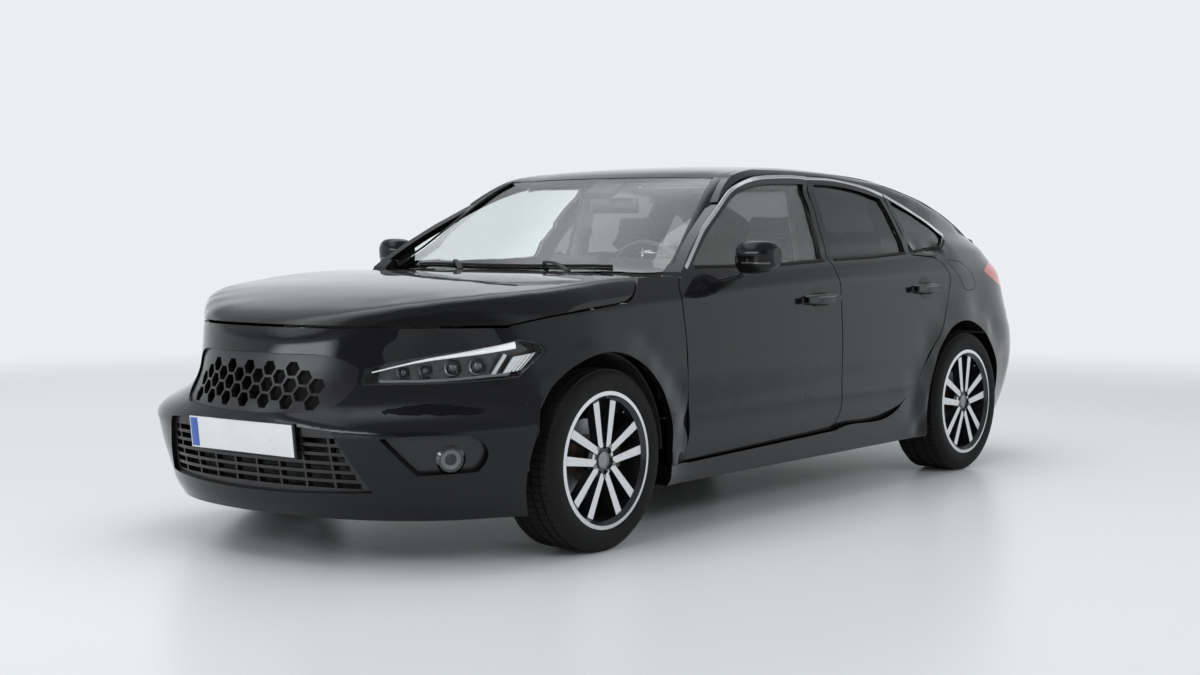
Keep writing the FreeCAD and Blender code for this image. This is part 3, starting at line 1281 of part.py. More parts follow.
def seat(x, y, width, back_lean=22.0, height=620.0):
    """Cushion, backrest and head restraint of one seat, as one soft solid."""
    cushion = box(x - 480, y - width / 2, 300, x + 40, y + width / 2, 520)
    cushion = cushion.makeFillet(40.0, cushion.Edges)
    back = box(-110, -width / 2, 0, 20, width / 2, height)
    back = back.makeFillet(36.0, back.Edges)
    back.rotate(Vec(0, 0, 0), Vec(0, 1, 0), -back_lean)
    back.translate(Vec(x - 400, y, 440))
    rest = box(-70, -125, 0, 10, 125, 170)
    rest = rest.makeFillet(28.0, rest.Edges)
    neck = box(-45, -70, -60, -20, 70, 40)
    rest = rest.fuse(neck)
    rest.rotate(Vec(0, 0, 0), Vec(0, 1, 0), -back_lean + 6)
    lean = math.radians(back_lean)
    rest.translate(Vec(x - 400 - (height + 24) * math.sin(lean), y, 440 + (height + 24) * math.cos(lean)))
    plinth = box(x - 420, y - width / 2 + 40, FLOOR_Z + FLOOR_WALL, x - 20, y + width / 2 - 40, 310)
    return fused(cushion, back, rest, plinth)


def front_seats():
    left = seat(front(-1150), STEERING_Y - 2, 480.0)
    return Part.makeCompound([left, mirrored(left)])


def rear_seat():
    half = HOUSING_INNER - 8.0
    cushion = box(rear(200), -half, BOOT_FLOOR_Z + FLOOR_WALL + SEAT_GAP, rear(690), half, 500)
    cushion = cushion.makeFillet(40.0, cushion.Edges)
    back = box(-120, -half, 0, 0, half, 560)
    back = back.makeFillet(36.0, back.Edges)
    back.rotate(Vec(0, 0, 0), Vec(0, 1, 0), -26)
    back.translate(Vec(rear(230), 0, 440))
    return fused(cushion, back)


def quarter_pane():
    grid = []
    for x in spread(rear(-120), rear(340), 8):
        rows = spread(1000, min(1330, top_height(x, 640.0) - 20), 8)
        grid.append([hit(side_field, (x, 0, z), (0, 1, 0), 1300.0) for z in rows])
    return pane(grid, QUARTER_WINDOW, 10.0)


FRONT_HANDLE = (rear(1145), rear(1430), 842.0)
REAR_HANDLE = (rear(225), rear(485), 862.0)


def left_parts():
    """Sub-parts that come as a left and a right piece."""
    front_skin = door_skin(rear(968) - 40, front(-450), 12)
    rear_skin = door_skin(rear(60), rear(1190), 12)
    parts = {}
    parts["door_front"] = fused(door(front_skin, FRONT_DOOR_OUTLINE, FRONT_WINDOW), door_handle(*FRONT_HANDLE))
    relief = (rear(310), rear(356), 1180)
    rear_door = door(rear_skin, REAR_DOOR_OUTLINE, REAR_WINDOW, relief)
    parts["door_rear"] = fused(rear_door, door_handle(*REAR_HANDLE))
    parts["glass_front"] = pane(front_skin, FRONT_WINDOW, 14.0)
    parts["glass_rear"] = pane(rear_skin, REAR_WINDOW, 14.0)
    parts["mirror"] = biggest(mirror_housing().cut(parts["door_front"]))
    parts["fender"] = fender()
    parts["headlamp"] = headlamp()
    parts["body_side"] = side_frame()
    parts["knuckle"] = knuckle(FRONT_X, FRONT_TRACK / 2)
    for axle, x, track in (("front", FRONT_X, FRONT_TRACK), ("rear", REAR_X, REAR_TRACK)):
        for maker in (tyre, rim, disc):
            parts[maker.__name__ + "_" + axle] = maker(x, track / 2, 1)
    return parts


def middle_parts():
    """Sub-parts that span the car, or hold both sides in one piece."""
    makers = (bonnet, roof, windscreen, tailgate, tailgate_glass, front_bumper, upper_grille, lower_grille,
              rear_bumper, floor_pan, rear_panel, cowl, front_frame, radiator, arch_liners, engine_block, front_suspension,
              rear_suspension, exhaust, steering_wheel, front_seats, rear_seat)
    parts = {maker.__name__: maker() for maker in makers}
    parts["dashboard"] = fused(dashboard(), steering_column())
    parts["quarter_glass"] = both_sides(quarter_pane())
    parts["tail_lamps"] = both_sides(tail_lamp())
    parts["tailgate_lamps"] = both_sides(gate_lamp())
    return parts


def main():
    os.makedirs("parts", exist_ok=True)
    for name, shape in left_parts().items():
        shape.exportStep("parts/" + name + "_left.step")
        mirrored(shape).exportStep("parts/" + name + "_right.step")
    for name, shape in middle_parts().items():
        shape.exportStep("parts/" + name + ".step")


if __name__ == "__main__":
    main()
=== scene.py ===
"""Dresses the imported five-door hatchback: finishes, trim, lamps, wheels and cabin."""

import logging
import math
from dataclasses import dataclass, field
from enum import Enum
from functools import lru_cache
from typing import Any, Callable, Sequence

import bmesh
import bpy
from mathutils import Matrix, Vector
from mathutils.bvhtree import BVHTree


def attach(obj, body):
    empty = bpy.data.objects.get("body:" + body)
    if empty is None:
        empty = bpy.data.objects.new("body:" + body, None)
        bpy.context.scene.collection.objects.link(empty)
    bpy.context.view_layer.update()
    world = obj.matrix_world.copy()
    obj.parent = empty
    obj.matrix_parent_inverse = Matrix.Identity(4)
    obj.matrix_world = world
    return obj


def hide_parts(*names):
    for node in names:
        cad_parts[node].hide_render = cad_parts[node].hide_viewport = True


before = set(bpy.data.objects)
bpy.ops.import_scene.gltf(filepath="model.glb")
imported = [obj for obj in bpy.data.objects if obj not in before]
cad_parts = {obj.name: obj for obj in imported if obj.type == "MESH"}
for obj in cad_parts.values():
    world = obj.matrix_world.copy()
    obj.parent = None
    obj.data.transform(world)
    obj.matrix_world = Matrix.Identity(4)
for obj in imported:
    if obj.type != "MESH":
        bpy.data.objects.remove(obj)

LOG = logging.getLogger("hatchback")
FRONT_AXLE = 1.3735
REAR_AXLE = -1.3605
BACKGROUND = (0.83, 0.86, 0.875)
Pair = tuple[float, float]
Triple = tuple[float, float, float]
Colour = Triple
Point = Sequence[float]
Hit = tuple[Vector, Vector]
Socket = bpy.types.NodeSocket


def front(station: float) -> float:
    """Returns the x of a station in millimetres ahead of the front axle."""
    return FRONT_AXLE + station / 1000


def rear(station: float) -> float:
    """Returns the x of a station in millimetres ahead of the rear axle."""
    return REAR_AXLE + station / 1000


class Side(Enum):
    """The two sides of the car, with the sign of y on each."""

    LEFT = 1
    RIGHT = -1

    @property
    def word(self) -> str:
        """Returns the side's name as the nodes spell it."""
        return self.name.lower()

    @property
    def flip(self) -> Vector:
        """Returns the signs that turn a point of the left side into this side's."""
        return Vector((1, self.value, 1))


class Pattern(Enum):
    """The grain moulded or woven into a surface."""

    LEATHER = "leather"
    PEBBLE = "pebble"
    WEAVE = "weave"
    SMOOTH = "smooth"


# Node trees


class Value:
    """A number socket in a node tree that Python's operators work on."""

    def __init__(self, tree: "Tree", socket: Socket) -> None:
        """Wraps an output socket of a tree."""
        self.tree = tree
        self.socket = socket

    def math(self, operation: str, *others: "Value | float", flip: bool = False, **settings: Any) -> "Value":
        """Adds a Math node on this value.

        Args:
            operation: The Math node's operation.
            others: The operation's other values.
            flip: Whether this value comes second.
            settings: The node's other settings.

        Returns:
            The node's result.
        """
        terms = [self, *others]
        if flip:
            terms.reverse()
        return self.tree.value("Math", dict(enumerate(terms)), operation=operation, **settings)

    def __add__(self, other: "Value | float") -> "Value":
        """Returns the sum."""
        return self.math("ADD", other)

    def __sub__(self, other: "Value | float") -> "Value":
        """Returns the difference."""
        return self.math("SUBTRACT", other)

    def __rsub__(self, other: float) -> "Value":
        """Returns a number less this value."""
        return self.math("SUBTRACT", other, flip=True)

    def __mul__(self, other: "Value | float") -> "Value":
        """Returns the product."""
        return self.math("MULTIPLY", other)

    def __truediv__(self, other: "Value | float") -> "Value":
        """Returns the quotient."""
        return self.math("DIVIDE", other)

    def __pow__(self, other: "Value | float") -> "Value":
        """Returns this value to a power."""
        return self.math("POWER", other)

    def __abs__(self) -> "Value":
        """Returns the size without the sign."""
        return self.math("ABSOLUTE")

    def wave(self, pitch: float) -> "Value":
        """Returns a wave between 0 and 1 along this value."""
        return (self * pitch).math("SINE") * 0.5 + 0.5

    def reach(self, other: "Value") -> "Value":
        """Returns the distance that this value and another make at right angles."""
        return (self * self + other * other) ** 0.5

    __radd__ = __add__
    __rmul__ = __mul__


class Tree:
    """A node tree that is filled node by node."""

    def __init__(self, tree: bpy.types.NodeTree) -> None:
        """Empties the tree."""
        self.tree = tree
        self.tree.nodes.clear()

    def node(self, kind: str, inputs: dict[str | int, Any] | None = None, **settings: Any) -> bpy.types.Node:
        """Adds one node.

        Args:
            kind: The node's type without the word ShaderNode.
            inputs: The values or links of its sockets.
            settings: The node's own settings, or a ramp's stops, which are set first.

        Returns:
            The node.
        """
        made = self.tree.nodes.new("ShaderNode" + kind)
        for name, setting in settings.items():
            if name == "stops":
                elements = made.color_ramp.elements
                while len(elements) < len(setting):
                    elements.new(1.0)
                for element, (position, shade) in zip(elements, setting):
                    element.position = position
                    element.color = (*shade, 1.0)
            else:
                setattr(made, name, setting)
        for key, given in (inputs or {}).items():
            self.plug(made, key, given)
        return made

    def plug(self, node: bpy.types.Node, key: str | int, given: Any) -> None:
        """Sets or links one socket of a node.

        Args:
            node: The node.
            key: The socket's name or number.
            given: A value, a colour, a socket or a Value.
        """
        if isinstance(given, Value):
            given = given.socket
        if isinstance(given, Socket):
            self.tree.links.new(given, node.inputs[key])
        elif isinstance(given, tuple) and node.inputs[key].type == "RGBA":
            node.inputs[key].default_value = (*given[:3], 1.0)
        else:
            node.inputs[key].default_value = given

    def value(self, kind: str, inputs: dict[str | int, Any], socket: str | int = 0, **settings: Any) -> Value:
        """Adds one node and returns a number that one of its outputs gives."""
        return Value(self, self.node(kind, inputs, **settings).outputs[socket])

    def axes(self, vector: Socket) -> tuple[Value, Value, Value]:
        """Returns a vector's three numbers."""
        split = self.node("SeparateXYZ", {0: vector})
        return tuple(Value(self, output) for output in split.outputs)

    def noise(self, vector: Socket, scale: float, detail: float = 3.0) -> Value:
        """Returns soft noise between 0 and 1."""
        return self.value("TexNoise", {"Vector": vector, "Scale": scale, "Detail": detail})

    def cells(self, vector: Socket, scale: float, feature: str = "F1") -> Value:
        """Returns the distance field of a cell pattern."""
        return self.value("TexVoronoi", {"Vector": vector, "Scale": scale}, "Distance", feature=feature)

    def step(self, source: Value, low: float, high: float) -> Value:
        """Returns 0 below low and 1 above high, with a smooth rise between."""
        sockets = {"Value": source, "From Min": low, "From Max": high}
        return self.value("MapRange", sockets, interpolation_type="SMOOTHSTEP")

    def blend(self, share: Value, first: Colour | Socket, second: Colour | Socket,
              ) -> Socket:
        """Returns a colour between two colours.

        Args:
            share: How much of the second colour there is.
            first: The colour at 0.
            second: The colour at 1.

        Returns:
            The colour socket.
        """
        mix = self.node("Mix", data_type="RGBA")
        for key, given in zip(("Factor_Float", "A_Color", "B_Color"), (share, first, second)):
            index = next(i for i, socket in enumerate(mix.inputs) if socket.identifier == key)
            self.plug(mix, index, given)
        return next(socket for socket in mix.outputs if socket.identifier == "Result_Color")


class Recipe(Tree):
    """The node tree of one material."""

    def __init__(self, name: str) -> None:
        """Starts a material with its main shader and its output.

        Args:
            name: The material's name.
        """
        self.material = bpy.data.materials.new(name)
        self.material.use_nodes = True
        super().__init__(self.material.node_tree)
        self.shader = self.node("BsdfPrincipled")
        self.output = self.node("OutputMaterial", {"Surface": self.shader.outputs["BSDF"]})

    def place(self, centre: Point = (0, 0, 0)) -> Socket:
        """Returns Object coordinates measured from a centre."""
        origin = self.node("TexCoord").outputs["Object"]
        return self.node("VectorMath", {0: origin, 1: tuple(centre)}, operation="SUBTRACT").outputs[0]

    def bump(self, height: Value, strength: float, depth: float) -> None:
        """Feeds a height through a Bump node, deep in metres, into the shader's Normal."""
        sockets = {"Height": height, "Strength": strength, "Distance": depth}
        self.plug(self.shader, "Normal", self.node("Bump", sockets).outputs[0])

    def set(self, **sockets: Any) -> None:
        """Sets the shader's sockets, named in lower case with underscores."""
        for name, given in sockets.items():
            words = " ".join(word.capitalize() for word in name.split("_")).replace("Ior", "IOR")
            self.plug(self.shader, words, given)


class Finish:
    """A surface finish that makes its material once."""

    name: str

    @lru_cache(maxsize=None)
    def material(self) -> bpy.types.Material:
        """Returns the finish's material, made the first time it is asked for."""
        recipe = Recipe(self.name)
        self.mix(recipe)
        return recipe.material

    def mix(self, recipe: Recipe) -> None:
        """Fills the recipe. Each finish has its own."""
        raise NotImplementedError


@dataclass(frozen=True)
class Paint(Finish):
    """Clear-coated body paint with fine flake and a trace of orange peel."""

    name: str
    colour: Colour
    flake: Colour
    roughness: float = 0.32
    peel: float = 0.012
    coat: float = 1.36

    def mix(self, recipe: Recipe) -> None:
        """Mixes flake, slow colour drift and orange peel under a clear coat.

        Args:
            recipe: The tree of its material.
        """
        place = recipe.place()
        drift = recipe.noise(place, 3.0)
        sparkle = recipe.step(recipe.cells(place, 2600.0), 0.12, 0.02)
        base = recipe.blend(sparkle * 0.35 + drift * 0.1, self.colour, self.flake)
        recipe.set(base_color=base, roughness=drift * 0.06 + self.roughness, metallic=0.0)
        recipe.set(coat_weight=1.0, coat_roughness=0.018, coat_ior=self.coat, specular_ior_level=0.04)
        recipe.bump(recipe.noise(place, 420.0, 1.0), self.peel, 0.0004)


@dataclass(frozen=True)
class Plastic(Finish):
    """Moulded plastic with a grain."""

    name: str
    colour: Colour
    roughness: float = 0.5
    pattern: Pattern = Pattern.PEBBLE
    grain: float = 900.0
    strength: float = 0.25
    coat: float = 0.0

    def mix(self, recipe: Recipe) -> None:
        """Mixes the grain's height with a little dust-dull variation.

        Args:
            recipe: The tree of its material.
        """
        place = recipe.place()
        wear = recipe.noise(place, 14.0, 4.0)
        paler = tuple(min(1.0, part * 1.5 + 0.006) for part in self.colour)
        base = recipe.blend(wear * 0.5, self.colour, paler)
        recipe.set(base_color=base, roughness=wear * 0.16 + self.roughness - 0.08)
        recipe.set(coat_weight=self.coat, coat_roughness=0.06)
        if self.pattern is Pattern.LEATHER:
            folds = recipe.cells(place, self.grain * 0.5, "SMOOTH_F1")
            height = folds * 0.7 + recipe.noise(place, self.grain) * 0.3
        elif self.pattern is Pattern.SMOOTH:
            height = recipe.noise(place, self.grain * 0.4, 1.0)
        else:
            height = recipe.step(recipe.cells(place, self.grain), 0.1, 0.6)
        recipe.bump(height, self.strength, 0.0004)


@dataclass(frozen=True)
class Metal(Finish):
    """Bare or plated metal, with a cast, rusty or clean surface."""

    name: str
    colour: Colour
    roughness: float = 0.25
    cast: float = 0.0
    rust: float = 0.0

    def mix(self, recipe: Recipe) -> None:
        """Mixes the metal's colour with blotches, and rust where it is asked for.

        Args:
            recipe: The tree of its material.
        """
        place = recipe.place()
        blotch = recipe.noise(place, 30.0, 5.0)
        shade = recipe.blend(blotch * 0.4, self.colour, tuple(part * 0.7 for part in self.colour))
        if self.rust:
            patch = recipe.step(recipe.noise(place, 18.0, 6.0), 0.62 - self.rust * 0.3, 0.75)
            shade = recipe.blend(patch, shade, (0.12, 0.045, 0.018))
            recipe.set(metallic=1.0 - patch * 0.8)
        else:
            recipe.set(metallic=1.0)
        recipe.set(base_color=shade, roughness=blotch * 0.14 + self.roughness - 0.05)
        recipe.bump(recipe.noise(place, 700.0 if self.cast else 1500.0, 3.0), self.cast + 0.02, 0.0005)


@dataclass(frozen=True)
class Glass(Finish):
    """Tinted safety glass."""

    name: str
    tint: Colour
    ior: float = 1.45

    def mix(self, recipe: Recipe) -> None:
        """Mixes clear glass whose roughness rises a touch with dust."""
        dust = recipe.noise(recipe.place(), 5.0, 4.0)
        recipe.set(base_color=self.tint, roughness=dust * 0.012, transmission_weight=1.0, ior=self.ior)


@dataclass(frozen=True)
class Lens(Finish):
    """Coloured lamp cover with fluting behind a smooth face."""

    name: str
    colour: Colour
    deep: Colour
    pitch: float = 260.0
    banding: float = 240.0
    glow: float = 0.4

    def mix(self, recipe: Recipe) -> None:
        """Mixes upright flutes and darker bands.

        Args:
            recipe: The tree of its material.
        """
        across, side, up = recipe.axes(recipe.place())
        flute = (across + side).wave(self.pitch)
        base = recipe.blend(flute * 0.6 + up.wave(self.banding) * 0.3, self.colour, self.deep)
        recipe.set(base_color=base, roughness=flute * 0.2 + 0.15, coat_weight=1.0, coat_roughness=0.01)
        recipe.set(coat_ior=1.3, emission_color=self.colour, emission_strength=self.glow)


@dataclass(frozen=True)
class LightBar(Finish):
    """Milky light guide that glows a little."""

    name: str
    colour: Colour
    glow: float = 0.6
    shadow: Colour = (0.5, 0.52, 0.55)

    def mix(self, recipe: Recipe) -> None:
        """Mixes fine ribs along a milky body.

        Args:
            recipe: The tree of its material.
        """
        ribs = recipe.axes(recipe.place())[0].wave(900.0)
        recipe.set(base_color=recipe.blend(ribs * 0.25, self.colour, self.shadow), roughness=ribs * 0.1 + 0.2)
        recipe.set(emission_color=self.colour, emission_strength=self.glow, coat_weight=0.5)
        recipe.bump(ribs, 0.2, 0.0005)


@dataclass(frozen=True)
class Rubber(Finish):
    """Tyre or seal rubber, greyer where it scuffs."""

    name: str
    colour: Colour = (0.018, 0.018, 0.019)
    centre: Triple | None = None
    tread: float = 0.3
    ring: float = 0.262
    scuffed: Colour = (0.012, 0.0117, 0.0114)
    dusty: Colour = (0.012, 0.012, 0.0117)

    def mix(self, recipe: Recipe) -> None:
        """Mixes mould lines round the sidewall and a dusty crown.

        Args:
            recipe: The tree of its material.
        """
        place = recipe.place(self.centre or (0, 0, 0))
        dust = recipe.noise(place, 22.0, 5.0)
        colour = recipe.blend(dust * 0.35, self.colour, self.scuffed)
        height = recipe.noise(place, 600.0, 3.0)
        if self.centre:
            along, _, up = recipe.axes(place)
            reach = along.reach(up)
            crown = recipe.step(reach, self.tread - 0.012, self.tread)
            band = recipe.step(abs(reach - self.ring), 0.012, 0.009)
            colour = recipe.blend(crown * 0.5, colour, self.dusty)
            height = height * 0.4 + reach.wave(1400.0) * band * 0.6
        recipe.set(base_color=colour, roughness=dust * 0.15 + 0.6, specular_ior_level=0.22)
        recipe.bump(height, 0.35, 0.0006)


@dataclass(frozen=True)
class TurnedAlloy(Finish):
    """Wheel with machined spoke faces and lip over dark painted pockets."""

    name: str
    centre: Triple
    face: float
    outward: Pair = (0.86, 0.93)
    hub: Pair = (0.046, 0.05)
    barrel: Pair = (0.2105, 0.2115)
    lip: Pair = (0.2245, 0.2252)
    painted: Colour = (0.018, 0.019, 0.021)
    machined: Colour = (0.72, 0.73, 0.75)

    def mix(self, recipe: Recipe) -> None:
        """Mixes bright turned metal on the outward faces and dark paint elsewhere.

        Args:
            recipe: The tree of its material.
        """
        place = recipe.place(self.centre)
        along, side, up = recipe.axes(place)
        reach = along.reach(up)
        sign = math.copysign(1.0, self.centre[1])
        facing = recipe.axes(recipe.node("TexCoord").outputs["Normal"])[1] * sign
        bright = recipe.step(facing, *self.outward) * recipe.step(side * sign, self.face - 0.002, self.face)
        rings = 1 - recipe.step(reach, *self.barrel) + recipe.step(reach, *self.lip)
        bright = bright * recipe.step(reach, *self.hub) * rings.math("MINIMUM", 1.0)
        soft = recipe.noise(place, 40.0, 4.0)
        recipe.set(base_color=recipe.blend(bright, self.painted, self.machined), metallic=bright * 0.6 + 0.4)
        recipe.set(roughness=0.34 - bright * 0.1 + soft * 0.06, coat_weight=0.6, coat_roughness=0.05)
        recipe.bump(reach.wave(5200.0) * bright, 0.06, 0.0002)


@dataclass(frozen=True)
class BrakeSteel(Finish):
    """Swept brake disc with fine grooves and a rusty hat."""

    name: str
    centre: Triple
    swept: Pair = (0.083, 0.087)
    rusty: Colour = (0.11, 0.085, 0.07)
    polished: Colour = (0.4, 0.4, 0.41)

    def mix(self, recipe: Recipe) -> None:
        """Mixes grooves on the swept ring and dull iron inside it.

        Args:
            recipe: The tree of its material.
        """
        along, _, up = recipe.axes(recipe.place(self.centre))
        reach = along.reach(up)
        swept = recipe.step(reach, *self.swept)
        grooves = recipe.noise(recipe.node("CombineXYZ", {0: reach * 900.0}).outputs[0], 1.0, 6.0)
        recipe.set(base_color=recipe.blend(swept, self.rusty, self.polished))
        recipe.set(metallic=swept * 0.6 + 0.4, roughness=grooves * 0.2 + 0.28)
        recipe.bump(grooves, 0.2, 0.0003)


@dataclass(frozen=True)
class Cloth(Finish):
    """Woven seat cloth."""

    name: str
    colour: Colour
    thread: Colour
    pitch: float = 1500.0

    def mix(self, recipe: Recipe) -> None:
        """Mixes crossing threads with slubs and soft wear.

        Args:
            recipe: The tree of its material.
        """
        place = recipe.place()
        along, side, up = recipe.axes(place)
        warp = ((along + up) * self.pitch).math("SINE")
        weft = ((side + up * 0.6) * self.pitch).math("SINE")
        weave = warp * weft * 0.5 + 0.5
        slub = recipe.noise(place, 260.0, 4.0)
        recipe.set(base_color=recipe.blend(weave * 0.6 + slub * 0.4, self.colour, self.thread))
        recipe.set(roughness=slub * 0.15 + 0.8, sheen_weight=0.4, sheen_roughness=0.4)
        recipe.bump(weave * 0.7 + slub * 0.3, 0.5, 0.0006)


@dataclass(frozen=True)
class Honeycomb(Finish):
    """Dark mesh of small cells, moulded in black plastic, with painted shade in its open cells."""

    name: str
    colour: Colour
    pitch: float = 62.0
    cell_shade: Colour = (0.0015, 0.0015, 0.0016)

    def mix(self, recipe: Recipe) -> None:
        """Mixes open cells, painted near-black as the shade seen through them, and lower than the ribs
        between them.

        Args:
            recipe: The tree of its material.
        """
        along, side, up = recipe.axes(recipe.place())
        flat = recipe.node("CombineXYZ", {0: side * self.pitch, 1: up * self.pitch * 1.6}).outputs[0]
        rib = recipe.step(recipe.cells(flat, 1.0, "DISTANCE_TO_EDGE"), 0.09, 0.05)
        dust = recipe.noise(recipe.place(), 40.0, 3.0)
        # The cells take a near-black colour: painted shade of the holes, not a colour of the plastic.
        recipe.set(base_color=recipe.blend(rib, self.cell_shade, self.colour), roughness=dust * 0.2 + 0.4)
        recipe.bump(rib, 0.6, 0.003)


@dataclass(frozen=True)
class Floor(Finish):
    """Pale studio floor with a soft gloss."""

    name: str = "studio_floor"
    colour: Colour = (0.8, 0.82, 0.83)
    fade: Pair = (4.6, 10.0)

    def mix(self, recipe: Recipe) -> None:
        """Mixes a smooth pale floor that fades into the background far out.

        Args:
            recipe: The tree of its material.
        """
        along, side, _ = recipe.axes(recipe.place())
        soft = recipe.noise(recipe.place(), 0.6, 2.0)
        recipe.set(base_color=self.colour, roughness=soft * 0.05 + 0.28, specular_ior_level=0.4)
        glow = recipe.node("Emission", {"Color": BACKGROUND, "Strength": 1.0}).outputs[0]
        sockets = {0: recipe.step(along.reach(side), *self.fade), 1: recipe.shader.outputs["BSDF"], 2: glow}
        recipe.plug(recipe.output, "Surface", recipe.node("MixShader", sockets).outputs[0])


GLOSS_BLACK = Paint("gloss_black_paint", (0.0035, 0.0036, 0.004), (0.03, 0.032, 0.038))
BUMPER_BLACK = Paint("gloss_black_bumper", (0.0035, 0.0036, 0.004), (0.03, 0.032, 0.038), 0.34)
PIANO_BLACK = Plastic("piano_black", (0.004, 0.004, 0.004), 0.12, Pattern.SMOOTH, 60.0, 0.02, 1.0)
TRIM_BLACK = Plastic("trim_black", (0.014, 0.014, 0.015), 0.55)
GRILLE_BLACK = Plastic("grille_black", (0.008, 0.008, 0.009), 0.3, Pattern.SMOOTH, 300.0, 0.1)
UNDER_BLACK = Plastic("under_black", (0.02, 0.02, 0.021), 0.75, Pattern.PEBBLE, 300.0, 0.4)
SEAL_BLACK = Rubber("seal_rubber", (0.012, 0.012, 0.012))
CABIN_GREY = Plastic("cabin_grey", (0.035, 0.036, 0.038), 0.62, Pattern.LEATHER)
CABIN_PALE = Plastic("cabin_pale", (0.5, 0.5, 0.49), 0.85, Pattern.WEAVE, 1500.0, 0.3)
WHEEL_LEATHER = Plastic("wheel_leather", (0.018, 0.018, 0.019), 0.48, Pattern.LEATHER, 1400.0, 0.35)
CHROME = Metal("bright_trim", (0.82, 0.83, 0.84), 0.1)
DARK_CHROME = Metal("dark_chrome", (0.25, 0.26, 0.27), 0.18)
CAST_IRON = Metal("cast_iron", (0.2, 0.19, 0.18), 0.55, 0.5, 0.35)
CAST_ALLOY = Metal("cast_alloy", (0.42, 0.42, 0.42), 0.42, 0.35)
CHASSIS_STEEL = Metal("chassis_steel", (0.05, 0.05, 0.052), 0.5, 0.3)
EXHAUST_STEEL = Metal("exhaust_steel", (0.4, 0.37, 0.33), 0.35, 0.15, 0.15)
FLOOR_PAINT = Paint("floor_paint", (0.02, 0.02, 0.022), (0.05, 0.05, 0.055), 0.6, 0.2)
CLEAR_GLASS = Glass("clear_glass", (0.96, 0.99, 0.98))
PRIVACY_GLASS = Glass("privacy_glass", (0.16, 0.165, 0.17))
COVER_GLASS = Glass("lamp_cover", (0.97, 0.98, 0.98), 1.2)
RED_LENS = Lens("red_lens", (0.4, 0.006, 0.009), (0.16, 0.002, 0.004))
SMOKED_LENS = Plastic("smoked_lens", (0.05, 0.045, 0.042), 0.12, Pattern.SMOOTH, 200.0, 0.02, 1.0)
WHITE_GUIDE = LightBar("white_guide", (0.86, 0.88, 0.9), 0.35)
SILVERED = Metal("lamp_reflector", (0.75, 0.76, 0.78), 0.08)
SATIN_GREY = Metal("satin_grey", (0.3, 0.31, 0.32), 0.3)
LAMP_DARK = Plastic("lamp_dark", (0.012, 0.013, 0.014), 0.25, Pattern.SMOOTH, 200.0, 0.05, 0.4)
LAMP_GREY = Plastic("lamp_grey", (0.16, 0.165, 0.17), 0.35, Pattern.SMOOTH, 200.0, 0.05, 0.2)
GREY_GUIDE = LightBar("grey_guide", (0.5, 0.52, 0.54), 0.15)
PROJECTOR_GLASS = Plastic("projector_glass", (0.02, 0.024, 0.03), 0.06, Pattern.SMOOTH, 90.0, 0.03, 1.0)
MIRROR_SILVER = Metal("mirror_silver", (0.86, 0.88, 0.9), 0.05)
SEAT_CLOTH = Cloth("seat_cloth", (0.05, 0.051, 0.053), (0.11, 0.112, 0.116))
# Near-black sheet over each handle's cup: painted shade of the recess behind the handle.
CUP_SHADE_BLACK = Plastic("handle_cup", (0.003, 0.003, 0.003), 0.4, Pattern.SMOOTH, 200.0, 0.02)
BELT_WEBBING = Cloth("belt_webbing", (0.03, 0.03, 0.032), (0.09, 0.09, 0.095), 2600.0)
DUCT_MESH = Honeycomb("duct_mesh", (0.012, 0.012, 0.013))
SEAT_PIPING = Plastic("seat_piping", (0.03, 0.031, 0.033), 0.5, Pattern.WEAVE, 2200.0, 0.3)
SEAT_THREAD = Plastic("seat_thread", (0.22, 0.22, 0.23), 0.6, Pattern.SMOOTH, 2400.0, 0.2)
SEAT_SIDE = Plastic("seat_side", (0.02, 0.02, 0.021), 0.5, Pattern.LEATHER, 1200.0, 0.35)
PLATE_WHITE = Plastic("plate_white", (0.78, 0.79, 0.79), 0.25, Pattern.SMOOTH, 200.0, 0.03, 0.6)
PLATE_BLUE = Plastic("plate_blue", (0.02, 0.09, 0.42), 0.3, Pattern.SMOOTH, 200.0, 0.03, 0.6)
SCREEN_DARK = Plastic("screen_dark", (0.005, 0.006, 0.008), 0.1, Pattern.SMOOTH, 100.0, 0.01, 1.0)

NODE_FINISHES: dict[str, Finish] = {
    name: finish
    for finish, names in (
        (GLOSS_BLACK, "door mirror fender body_side bonnet roof tailgate"),
        (BUMPER_BLACK, "front_bumper rear_bumper"),
        (CLEAR_GLASS, "glass_front windscreen"),
        (PRIVACY_GLASS, "glass_rear quarter_glass tailgate_glass"),
        (COVER_GLASS, "headlamp"),
        (RED_LENS, "tail_lamps tailgate_lamps"),
        (GRILLE_BLACK, "upper_grille lower_grille"),
        (TRIM_BLACK, "cowl"),
        (UNDER_BLACK, "arch_liners"),
        (SEAL_BLACK, "tyre"),
        (CAST_IRON, "knuckle"),
        (CHASSIS_STEEL, "front_suspension rear_suspension front_frame radiator"),
        (EXHAUST_STEEL, "exhaust"),
        (CAST_ALLOY, "engine_block"),
        (FLOOR_PAINT, "floor_pan rear_panel"),
        (CABIN_GREY, "dashboard"),
        (WHEEL_LEATHER, "steering_wheel"),
        (SEAT_CLOTH, "front_seats rear_seat"),
    )
    for name in names.split()
}


# Meshes


